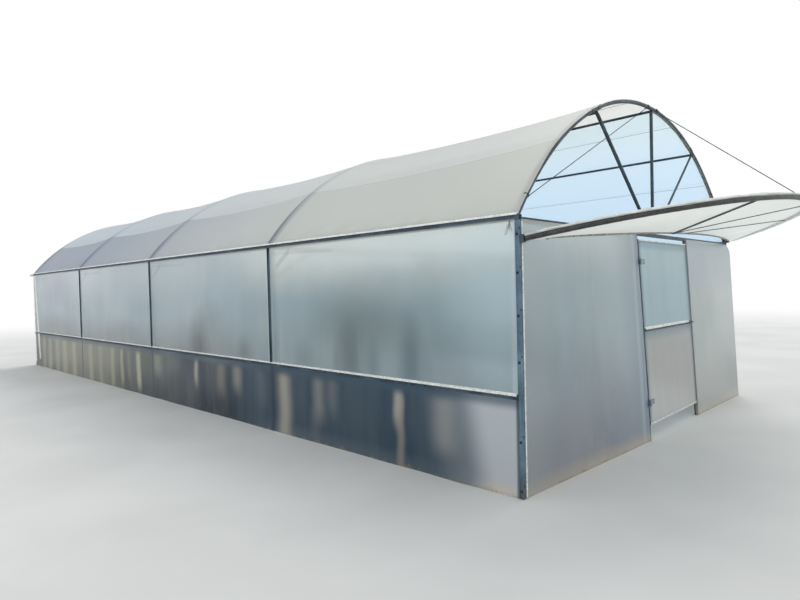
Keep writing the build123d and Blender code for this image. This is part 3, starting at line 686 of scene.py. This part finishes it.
def roof_grid():
    steps = 30
    share = (1 - np.cos(np.linspace(0, np.pi, steps + 1))) / 2
    share = 0.45 * share + 0.55 * np.linspace(0, 1, steps + 1)
    along = np.concatenate([front + (k + share[:-1]) * bay for k in range(BAYS)] + [[rear]])
    across = np.concatenate([np.linspace(a, b, 19)[:-1] for a, b in spans] + [[spring]])
    y, t = np.meshgrid(along, across, indexing="ij")
    hang = bay_hang(y) ** 0.8
    # chords between the wires and purlins, which sag a little themselves
    radius = np.full(t.shape, film_r)
    for a, b in spans:
        chord = math.cos((b - a) / 2) / np.cos(t - (a + b) / 2)
        radius = np.where((t >= a) & (t <= b), film_r * (1 + (chord - 1) * hang), radius)
    from_eave = 1 - np.abs(t) / spring
    radius -= 0.033 * hang * ease(from_eave, 0.0, 0.3)
    radius -= 0.012 * hang * np.sin(np.pi * np.clip(from_eave / 0.36, 0, 1))
    # creases that run in from the arches and puckers above the eaves
    radius += 0.0022 * waves(y * 0.35, t * film_r, 1.3, 11) * ease(hang, 0.05, 0.5)
    radius += 0.003 * waves(y, 0, 5.0, 12) * np.exp(-from_eave * film_r / 0.16) * ease(from_eave, 0, 0.02)
    grid = np.array(turned_down(across, front, -1, 21)[::-1] + list(arch_place(radius, t, y))
                    + turned_down(across, rear, 1, 23))
    # feet tucked behind the eave channels
    foot = grid[:, [0, -1]].copy()
    foot[:, 0, 0], foot[:, 1, 0] = -(outer + 0.0036), outer + 0.0036
    foot[..., 2] = eave_top - 0.012
    return np.concatenate([foot[:, :1], grid, foot[:, 1:]], 1)


roof = sheet("roof_sheet", roof_grid(), roof_paint, True,
             ["roof_film_1", "roof_film_2", "roof_film_3", "roof_film_4"])


# Side walls
def hem_strip(name, along, section, seed, loose):
    """A crumpled strip of film: section is a list of points square to the path along."""
    rows = []
    for k, place in enumerate(section):
        wander = loose * waves(along[:, 1] + along[:, 2], 0.37 * k, 3.5, seed + k)
        rows.append(along + np.array(place) + points(wander, 0, wander * 0.8))
    return sheet(name, rows, hem_paint)


def rail_line(node):
    low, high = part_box(node)
    return points(0.0, np.linspace(low.y + 0.004, high.y - 0.004, 601), 0.0)


def outer_face(node, side):
    low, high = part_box(node)
    return high.x if side > 0 else -low.x


def eave_section(side, places):
    return [(side * out, 0, eave_top + rise) for out, rise in places]


def wall_grid(side, along, low, high, count, seed, bulge):
    y, z = np.meshgrid(along, np.linspace(low, high, count), indexing="ij")
    span = np.clip(bay_hang(y), 0, 1) * arc((z - low) / (high - low)) ** 0.7
    x = outer + 0.002 + bulge * span * (1 + 0.5 * waves(y, z * 0.3, 0.35, seed))
    x += 0.0035 * span * waves(y, z * 0.25, 1.6, seed + 1)
    return points(side * x, y, z)


for hand, side in SIDES:
    channel, rail = f"{hand}_eave_channel", f"{hand}_mid_rail"
    low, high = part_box(f"{hand}_wall_film")
    along = np.linspace(low.y, high.y, 301)

    wall_rows = wall_grid(side, along, mid_rail, eave_top - 0.008, 41, 31 + side, 0.01)
    wall = sheet(f"{hand}_wall_sheet", wall_rows, wall_paint, side < 0, [f"{hand}_wall_film"])

    skirt_rows = wall_grid(side, along, 0.0, mid_rail, 25, 41 + side, 0.012)
    flare = np.clip(1 - skirt_rows[..., 2] / 0.3, 0, 1) ** 2
    skirt_rows[..., 0] += side * flare * (0.01 + 0.008 * waves(skirt_rows[..., 1], 0, 1.1, 51 + side))
    skirt = sheet(f"{hand}_skirt_sheet", skirt_rows, skirt_paint, side < 0,
                  [f"{hand}_skirt_film"])

    # white edge of the roof film folded over the eave channel
    face = outer_face(channel, side)
    section = eave_section(side, [(outer + 0.004, 0.016), (outer + 0.0075, 0.0105), (face - 0.003, 0.0045),
                                  (face + 0.0015, 0.001), (face + 0.002, -0.006)])
    hem_strip(f"{hand}_eave_hem", rail_line(channel), section, 61, 0.0011)

    # bright edge of the wall film lying over the top of the mid rail
    face, rail_top = outer_face(rail, side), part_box(rail)[1].z
    y = rail_line(rail)[:, 1]
    drop = 0.006 + 0.008 * ease(-y, -(front + 5.0), -(front + 0.2))
    rows = []
    for k, (out, rise) in enumerate(((outer + 0.0045, 0.01), (outer + 0.0085, 0.0032), (face - 0.002, 0.002),
                                     (face + 0.0014, -0.0005), (face + 0.0016, -drop))):
        wander = 0.0007 * waves(y, 0.4 * k, 4.5, 65 + k)
        rows.append(points(side * (out + np.abs(wander)), y, rail_top + rise + wander))
    sheet(f"{hand}_mid_rail_cap", rows, hem_paint)

    # spring wire zigzagging in the eave channel and the mid rail
    for label, node, swing in (("eave", channel, 0.0125), ("mid", rail, 0.015)):
        low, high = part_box(node)
        y = np.linspace(low.y + 0.02, high.y - 0.02, int((high.y - low.y) / 0.0115))
        bend = np.sin(2 * np.pi * (y - low.y) / 0.092)
        z = (low.z + high.z) / 2 + swing * np.sign(bend) * np.abs(bend) ** 0.6
        bag = Bag()
        bag.tube(points(side * (outer + 0.0093), y, z), 0.0014, 5)
        bag.made(f"{hand}_{label}_spring_wire", wire_paint, "wire")


# Front
CORNER_FOOT, CORNER_SHOULDER = 0.192, 0.088  # right film's outer edge ahead of the frame
shoulder_z = tie_mid - 0.1
across_u, up_z = np.meshgrid(np.linspace(0, 1, 49), np.linspace(0.0, tie_mid, 61), indexing="ij")
door_front = front - 0.0225 - lean * (1 - up_z / tie_mid)


def front_sheet(name, far, near, far_y, node, side, seed, wraps):
    """Film from its corner, at far, to its door post, at near; wraps are strips past its first edge."""
    x = far + (near - far) * across_u
    y = far_y * (1 - across_u) + door_front * across_u
    belly = arc(across_u) * arc(up_z / tie_mid) ** 0.8
    y = y + belly * (0.01 * waves(x * 0.6, up_z * 0.5, 0.5, seed) + 0.003 * waves(x, up_z * 0.3, 1.8, seed + 1))
    grid = points(x, y, up_z)
    first, last = grid[0].T, grid[-1].T
    lead = [points(first[0] + side * out, np.minimum(first[1] + back, front - 0.0262), first[2])
            for out, back in wraps]
    tail = [points(near - side * 0.001, last[1] + back, last[2]) for back in (0.004, 0.014, 0.026)]
    return sheet(name, [*lead, *grid, *tail], front_paint, side > 0, [node])


edge_line = CORNER_FOOT + (CORNER_SHOULDER - CORNER_FOOT) * up_z / shoulder_z
rounded = np.sin(np.clip((tie_mid - up_z) / 0.16, 0, 1) * np.pi / 2) ** 0.8
right_edge_y = front - 0.029 - (edge_line - 0.029) * rounded
front_left = front_sheet("front_left_sheet", -(half - 0.013), door_edge - 0.022, front - 0.0275,
                         "front_film_left", -1, 71, [])
front_right = front_sheet("front_right_sheet", half - 0.034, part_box("door_post_right")[0].x, right_edge_y,
                          "front_film_right", 1, 73,
                          [(0.0208, 0.24), (0.0208, 0.06), (0.0204, 0.03), (0.017, 0.014), (0.01, 0.0045)])

# pale turned edge of the front film beside the left corner post
x = -(half - 0.012)
section = [(x + inward, ahead, 0) for inward, ahead in (
    (0, -0.0262), (0, -0.0315), (0.006, -0.0345), (0.013, -0.0325), (0.018, -0.0295))]
hem_strip("front_left_hem", points(0, front, np.linspace(0.01, tie_under, 121)), section, 80, 0.0008)

# Door
leaf_c, leaf_s = math.cos(lean_angle), math.sin(lean_angle)
up_high = (tie_under - LEAF_TOP_GAP - tie_mid) / leaf_c
up_low = (LEAF_GROUND_GAP - tie_mid) / leaf_c


def on_leaf(x, up, ahead):
    """A place on the door: up the leaf from its hung height, ahead of its middle."""
    return points(x, front + up * leaf_s - ahead * leaf_c, tie_mid + up * leaf_c + ahead * leaf_s)


def leaf_strip(name, x, up, section, loose, seed, flip=False):
    """White film across the leaf: section is a list of (rise, depth), and a flipped one only lifts."""
    rows = []
    for k, (rise, depth) in enumerate(section):
        wander = loose * waves(x, k, 6, seed + k)
        rows.append(on_leaf(x, up + rise + wander, depth + (np.abs(wander) if flip else wander)))
    sheet(name, rows, hem_paint, flip, body="door")


x, up = np.meshgrid(np.linspace(leaf_low.x, leaf_high.x, 45), np.linspace(up_low, up_high, 61), indexing="ij")
ux, uz = (x - leaf_low.x) / (leaf_high.x - leaf_low.x), (up - up_low) / (up_high - up_low)
panel = np.abs(np.sin(2 * np.pi * np.clip(uz, 0, 1))) ** 0.8 * arc(ux) ** 0.8
leaf_face = on_leaf(x, up, 0.017 - 0.006 * panel + 0.0022 * panel * waves(x, up * 0.4, 1.7, 91))
left_wrap = [on_leaf(x[0] - 0.0012, up[0], depth) for depth in (0.0125, 0.0155)]
right_wrap = [on_leaf(x[-1] + 0.0012, up[0], depth) for depth in (0.0145, 0.004, -0.008)]
leaf_rows = [*left_wrap, *leaf_face, *right_wrap]
leaf = sheet("door_sheet", leaf_rows, door_paint, True, ["door_film"], "door")

x = np.linspace(leaf_low.x, leaf_high.x, 81)
for label, place, way, tall in (("top", up_high, 1, 0.016), ("bottom", up_low, -1, 0.026)):
    section = [(way * rise, depth) for rise, depth in (
        (-tall, 0.0195), (-0.003, 0.0205), (0.0022, 0.014), (0.0026, 0.0), (0.0022, -0.014))]
    leaf_strip(f"door_{label}_hem", x, place, section, 0.0009, 95)

# white edge of the leaf's film over the channel across its middle
channel_mid = middle("door_mid_channel").z
leaf_strip("door_channel_cap", np.linspace(leaf_low.x + 0.004, leaf_high.x - 0.114, 61),
           (channel_mid - tie_mid) / leaf_c - 0.0015,
           [(0.036, 0.0185), (0.024, 0.0205), (0.0178, 0.033), (0.0165, 0.0352), (0.004, 0.0354)], 0.0008, 97, True)

# Rear
x, z = np.meshgrid(np.linspace(-outer - 0.003, outer + 0.003, 97), np.linspace(0.0, tie_under + 0.01, 41),
                   indexing="ij")
belly = arc((x / outer + 1) / 2) * arc(z / tie_under) ** 0.8
y = rear + 0.0275 + np.abs(belly * (0.01 + 0.006 * waves(x, z * 0.4, 0.8, 101)))
rear_wall = sheet("rear_wall_sheet", points(x, y, z), wall_paint, False, ["rear_wall_film"])

t, s = np.meshgrid(np.linspace(-spring, spring, 121), np.linspace(0, 1, 33), indexing="ij")
rim = arch_place(arch_r + 0.004, t, 0)
x, base_z = rim[..., 0], tie_under + 0.012
z = base_z + (rim[..., 2] - base_z) * s
y = rear + 0.0265 + 0.006 * arc(s) * arc(x / (2 * half) + 0.5) * (1 + 0.4 * waves(x, z, 0.7, 103))
rear_gable = sheet("rear_gable_sheet", points(x, y, z), rear_gable_paint, False, ["rear_gable_film"])

for hand, side in SIDES:
    # a white strip folded round the corner
    z = np.linspace(0.02, eave_top - 0.045, 121)
    section = [(side * (outer + 0.0055 + out), back, 0) for out, back in (
        (0, -0.045), (0.0015, -0.03), (0.001, 0.024), (-0.002, 0.0315), (-0.02, 0.033), (-0.048, 0.032))]
    hem_strip(f"rear_{hand}_corner_strip", points(0, rear, z), section, 111 + side, 0.0012)

    # the wall film's loose rear end, slanting in from the corner
    path = points(side * (outer + 0.0048), rear - 0.1 - 0.3 * (1 - z / z[-1]), z)
    section = [(side * out, back, 0) for out, back in (
        (0, -0.085), (0.003, -0.05), (0.0012, 0.0), (0.0034, 0.045), (0, 0.08))]
    hem_strip(f"rear_{hand}_film_end", path, section, 121 + side, 0.0012)

    # film wrapped round the rail's rear end
    rail_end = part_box(f"{hand}_eave_rail")[1].y
    section = eave_section(side, [(half - 0.015, 0.003), (outer - 0.004, 0.0038), (outer + 0.0035, -0.001),
                                  (outer + 0.004, -0.024), (outer + 0.006, -0.038)])
    hem_strip(f"rear_{hand}_rail_wrap", points(0.0, np.linspace(rear + 0.04, rail_end - 0.003, 61), 0.0),
              section, 115 + side, 0.0018)

# Vent flap, in its own directions: across, out from the hinge line and up from its face
skew = math.atan2(VENT_RIGHT - VENT_LEFT, 2 * VENT_HALF)
across_way = np.array([math.cos(skew), 0, math.sin(skew)])
out_way = np.array([0, -math.cos(VENT_TILT), math.sin(VENT_TILT)])
up_way = np.cross(out_way, across_way)
vent_origin = np.array([0, front - VENT_STANDOFF, (VENT_LEFT + VENT_RIGHT) / 2])
vent_r = (VENT_HALF**2 + VENT_RISE**2) / (2 * VENT_RISE)
bar_half = VENT_HALF - VENT_PIPE
bar_r = (bar_half**2 + BAR_BOW**2) / (2 * BAR_BOW)
hoop_span, bar_span = math.asin(VENT_HALF / vent_r), math.asin(bar_half / bar_r)
RIBS = [((-0.32, 0.281), (-1.13, 1.331)), ((-0.275, 0.282), (0.68, 1.443)), ((0.04, 0.284), (1.9, 0.99))]


def vent_place(x, y, n):
    x, y, n = np.broadcast_arrays(x, y, n)
    return vent_origin + x[..., None] * across_way + y[..., None] * out_way + n[..., None] * up_way


def hoop_line(s, rad=0.0, share=1.0):
    """Across and out at shares s of the hoop's half length, inward by a share of rad."""
    t = s * hoop_span
    return (vent_r * np.sin(t) - np.sin(t) * rad * share,
            VENT_RISE - vent_r + vent_r * np.cos(t) - np.cos(t) * rad * share)


def hoop_place(s, rad=0.0, angle=0.0):
    """Places round the hoop's pipe: an angle of 0 is inward, 90 degrees up."""
    return vent_place(*hoop_line(s, rad, np.cos(angle)), rad * np.sin(angle))


def bar_line(s):
    return bar_r * np.sin(s * bar_span), BAR_BOW - bar_r + bar_r * np.cos(s * bar_span)


def vent_rows():
    s = np.linspace(-1, 1, 161)
    (bar_x, bar_y), (rim_x, rim_y) = bar_line(s), hoop_line(s, 0.025)
    rows = []
    for t in np.linspace(0, 1, 29):
        x, y = bar_x + (rim_x - bar_x) * t, bar_y + (rim_y - bar_y) * t
        clear = np.full(x.shape, 9.0)
        for (ax, ay), (bx, by) in RIBS:
            k = np.clip(((x - ax) * (bx - ax) + (y - ay) * (by - ay)) / ((bx - ax) ** 2 + (by - ay) ** 2), 0, 1)
            clear = np.minimum(clear, np.hypot(x - ax - k * (bx - ax), y - ay - k * (by - ay)))
        low = -0.028 * np.sin(np.pi * t) * ease(clear, 0.03, 0.45)
        ripple = 0.004 * waves(x, y * 0.6, 1.4, 121) * ease(clear, 0.02, 0.2) * np.sin(np.pi * t)
        rows.append(vent_place(x, y, low + ripple + 0.004 * ease(t, 0.9, 1)))
    # over the top of the hoop, loosely, to a ragged edge outside it
    first, edge = np.radians(12), np.radians(146 + 16 * waves(s * 6, 0, 0.6, 123))
    puffed = 0.008 + 0.016 * np.abs(waves(s * 8, 0, 0.8, 125))
    for t in np.linspace(0, 1, 13)[1:]:
        loose = 0.0035 + puffed * np.sin(np.pi * t**1.3) + 0.003 * np.abs(waves(s * 14, t * 2, 1.1, 127))
        rows.append(hoop_place(s, VENT_PIPE + loose, first + (edge - first) * t))
    return rows


vent = sheet("vent_sheet", vent_rows(), vent_paint, False, ["vent_film"])

bag = Bag()
s, ring = np.linspace(-0.985, 0.985, 361), np.arange(16)[None]
spiral = (s[:, None] * vent_r * hoop_span / 0.11 + ring / 16) % 1.0
radius = VENT_PIPE + 0.0008 + 0.0011 * spiral + 0.0006 * waves(s[:, None] * 8, ring * 0.4, 1.0, 131)
bag.tube(hoop_place(s), radius, 16)
bag.made("vent_wrap", black_wrap, "vent_pipe")


def rim_strip(name, first, last, angles, rise, paint, seed):
    """Crumpled film round the hoop between two of its places and two angles."""
    s = np.linspace(first, last, 261)
    rows = []
    for t in np.linspace(0, 1, 10):
        ragged = 9 * waves(s * 16, 0, 0.7, seed) * (t > 0.5)
        angle = np.radians(angles[0] + (angles[1] - angles[0]) * t + ragged)
        rad = VENT_PIPE + rise + 0.006 * np.abs(waves(s * 14, t * 2, 1.1, seed + 1))
        rows.append(hoop_place(s, rad, angle))
    sheet(name, rows, paint)


rim_strip("vent_rim_hem", -0.97, 0.97, (74, 152), 0.017, rim_top_paint, 151)
rim_strip("vent_rim_lap", 0.16, 0.975, (14, -186), 0.0045, rim_paint, 153)

bag = Bag()
s = np.linspace(-0.915, 0.985, 321)
radius = 0.0148 + 0.002 * np.abs(waves(s[:, None] * 12, np.arange(12)[None] * 0.5, 1.0, 133))
radius = radius * (1 + 0.7 * np.exp(-((s[:, None] + 0.909) / 0.005) ** 2))
bag.tube(vent_place(*bar_line(s), 0), radius, 12)
bag.made("vent_bar_hem", bar_hem_paint, "vent_film")


# Ropes
def rope(bag, start, end, radius, lay):
    """Three strands laid round each other."""
    length = np.linalg.norm(end - start)
    share = np.linspace(0, 1, int(length / lay * 9) + 2)
    path = start + (end - start) * share[:, None]
    a, b = frames_along(path)
    for k in range(3):
        turn = (2 * np.pi * (share * length / lay + k / 3))[:, None]
        bag.tube(path + radius * 0.46 * (np.cos(turn) * a + np.sin(turn) * b), radius * 0.53, 6)


def lashing(bag, centre, way, radius, turns, thick):
    """Turns of cord round a pipe."""
    way, a, b = square_to(way)
    share = np.linspace(0, 1, int(turns * 18))[:, None]
    turn = 2 * np.pi * turns * share
    place = centre + (share - 0.5) * way * turns * thick * 1.9
    bag.tube(place + radius * (np.cos(turn) * a + np.sin(turn) * b), thick, 6)


crown_place = np.array([STAY_X, front, arch_height(STAY_X)])
hoop_crown = vent_place(0.0, VENT_RISE, 0.0)
way = (hoop_crown - crown_place) / np.linalg.norm(hoop_crown - crown_place)
bag = Bag()
rope(bag, crown_place + way * (ARCH_PIPE + 0.004), hoop_crown - way * (VENT_PIPE + 0.003), 0.005, 0.05)
lashing(bag, crown_place + (0.004, 0, -0.0002), (1, 0, -STAY_X / arch_r), ARCH_PIPE + 0.0055, 3, 0.004)
lashing(bag, hoop_crown + across_way * 0.004, across_way, VENT_PIPE + 0.0075, 3, 0.004)
bag.made("stay_rope", stay_paint, "rope", stands_for=["vent_stay"])

bag = Bag()
ends = [np.array([x, front + 0.02, arch_height(x, arch_r - inset)]) for x, inset in zip(LINE_ENDS, (0.02, 0.022))]
rope(bag, *ends, 0.0047, 0.04)
for x in LINE_ENDS:
    t = math.asin(x / arch_r)
    lashing(bag, (x, front, arch_height(x)), (math.cos(t), 0, -math.sin(t)), ARCH_PIPE + 0.0045, 2.5, 0.0026)
bag.made("gable_rope", line_paint, "rope", stands_for=["gable_line"])

# film wound round the two heavier front struts
strut_y, strut_foot = front - 0.0045, tie_under + 0.012
purlin_r = arch_r - ARCH_PIPE - SEAT_GAP - PURLIN_PIPE
bag = Bag()
for order, head_x in ((-1, -purlin_x), (0, 0.0)):
    foot = np.array([order * 0.046, strut_y, strut_foot])
    head = np.array([head_x, strut_y, arch_height(head_x, purlin_r)])
    way = (head - foot) / np.linalg.norm(head - foot)
    share = np.linspace(0, 1, 121)[:, None]
    start, end = foot + way * (0.03 / way[2]), head - way * 0.019
    swell = 0.019 + 0.0006 * waves(share * 12, np.arange(14)[None] * 0.4, 1.0, 161 + order)
    bag.tube(start + (end - start) * share, swell, 14)
bag.made("front_strut_wraps", dark_steel_paint, "galvanised_steel")

# black tape round the front arch where the purlins meet it
TAPES = ((-purlin_x + 0.06, 0.11), (-purlin_x - 0.1, 0.07), (purlin_x - 0.05, 0.09), (0.2, 0.08), (2.35, 0.1))
bag = Bag()
for x, wide in TAPES:
    s = np.linspace(-0.5, 0.5, 15)
    radius = ARCH_PIPE + 0.0045 + 0.002 * waves(s[:, None] * 0.6, np.arange(14)[None] * 0.3, 1.5, 141)
    radius = radius * (1 - 0.12 * (2 * np.abs(s[:, None])) ** 6)
    bag.tube(arch_place(arch_r, math.asin(x / arch_r) + s * wide / arch_r, front - 0.001), radius, 14)
bag.made("arch_tape", black_wrap, "vent_pipe")

# crumpled film along the inner side of the front arch's right half, painted dark grey-brown for grime and for the
# shade under the crown
t = np.linspace(0.01, spring * 0.985, 401)
rows = []
for k in np.linspace(0, 1, 9):
    angle = np.radians(150 + 78 * k + 10 * waves(t * 9, 0, 0.9, 171) * (1 - k))
    rad = ARCH_PIPE + 0.005 + (0.003 + 0.005 * np.exp(-t / 0.25)) * np.abs(waves(t * 16, 1.3 * k, 1.0, 172))
    rows.append(arch_place(arch_r + rad * np.cos(angle), t, front - rad * np.sin(angle)))
sheet("front_arch_lining", rows, lining_paint)

# Fixings
SCREW = [(0.0092, 0.0), (0.0092, 0.0012), (0.006, 0.0016), (0.006, 0.0046), (0.0048, 0.0056)]
bag = Bag()
for side in (-1, 1):
    for z in (2.307, 1.98, 1.614, 1.217, 0.535, 0.113):
        bag.turned((side * (half + 0.017), front - 0.025, z), (0, -1, 0), SCREW, 8)
        bag.turned((side * outer, front - 0.004, z - 0.05), (side, 0, 0), [(r * 1.45, d) for r, d in SCREW], 10)
    for y in np.arange(front + 0.45, rear, 0.62):
        bag.turned((side * (outer + 0.006), y, mid_rail), (side, 0, 0), SCREW, 8)
bag.made("screws", screw_paint, "galvanised_steel", smooth=False)

# frayed twine at the top of the front left post
bag = Bag()
pick = np.random.default_rng(7)
t = np.linspace(0, 1, 12)
for k in range(9):
    fall, spread, swing = pick.uniform(0.06, 0.15), pick.uniform(-0.05, 0.06), pick.uniform(0.5, 1.6)
    bag.tube(points(-(outer + 0.0065 + 0.01 * np.sin(np.pi * t) + 0.004 * (k % 3)),
                    front + 0.052 + spread * t**1.5 + 0.006 * np.sin(t * 9 * swing),
                    2.372 - fall * t + 0.004 * np.sin(t * 7 * swing + k)), 0.0012, 5)
bag.made("twine_tuft", twine_paint, "rope")

# Camera
camera = bpy.data.objects.new("camera", bpy.data.cameras.new("camera"))
scene.collection.objects.link(camera)
camera.data.sensor_width, camera.data.lens = 36, 25.77
camera.data.clip_start, camera.data.clip_end = 0.05, 400
ways = ((0.6965, -0.71713, -0.02473), (0.03322, -0.0022, 0.99945), (-0.71679, -0.69694, 0.02229))
eye = (-7.193, front - 2.664, 1.832)
camera.matrix_world = Matrix([(*trio, place) for trio, place in zip(zip(*ways), eye)] + [(0, 0, 0, 1)])
scene.camera = camera

# Floor, which fades to white far away, world and lamps
FLOOR_REACH, FADE_FROM, FADE_TO = 90, 13.0, 34.0
floor = Paint("pale_floor")
floor.base = floor.mix(floor.ramp(floor.noise(0.6), 0.3, 0.7), (200, 200, 198), (208, 208, 206))
floor.rough(0.85)
floor.bump(floor.noise(30), 0.002, 0.3)
squares = floor.math("ADD", floor.math("POWER", floor.x, 2.0), floor.math("POWER", floor.y, 2.0))
fade = floor.ramp(floor.math("POWER", squares, 0.5), FADE_FROM, FADE_TO)
white = floor.add("Emission").outputs[0]
floor.join(floor.blend(floor.times(floor.seen(), fade), floor.shader.outputs[0], white), floor.out)
turns = [k * math.pi / 32 for k in range(64)]
ring = [(FLOOR_REACH * math.cos(turn), FLOOR_REACH * math.sin(turn), -0.004) for turn in turns]
mesh = bpy.data.meshes.new("floor")
mesh.from_pydata(ring, [], [tuple(range(64))])
ground = bpy.data.objects.new("floor", mesh)
scene.collection.objects.link(ground)
mesh.materials.append(floor.done())
ground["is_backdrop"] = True

world = bpy.data.worlds.new("studio")
scene.world = world
sky = Nodes(world)
shades = []
for tone, strength in (((0.94, 0.975, 1.0, 1), 0.92), ((1, 1, 1, 1), 1.0)):
    shade = sky.add("Background")
    shade.inputs[0].default_value, shade.inputs[1].default_value = tone, strength
    shades.append(shade.outputs[0])
sky.add("OutputWorld", sky.blend(sky.seen(), *shades))


def sun(name, way, strength, spread, tint=(1, 1, 1)):
    lamp = bpy.data.lights.new(name, "SUN")
    lamp.energy, lamp.angle, lamp.color = strength, math.radians(spread), tint
    made = bpy.data.objects.new(name, lamp)
    made.rotation_mode = "QUATERNION"
    made.rotation_quaternion = Vector(way).to_track_quat("Z", "Y")
    scene.collection.objects.link(made)


sun("key", (0.75, 0.2, 1.0), 1.1, 35, (1.0, 0.98, 0.95))
sun("fill", (-0.8, -1.0, 0.7), 0.25, 70)
scene.view_settings.view_transform = "Standard"

low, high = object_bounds()
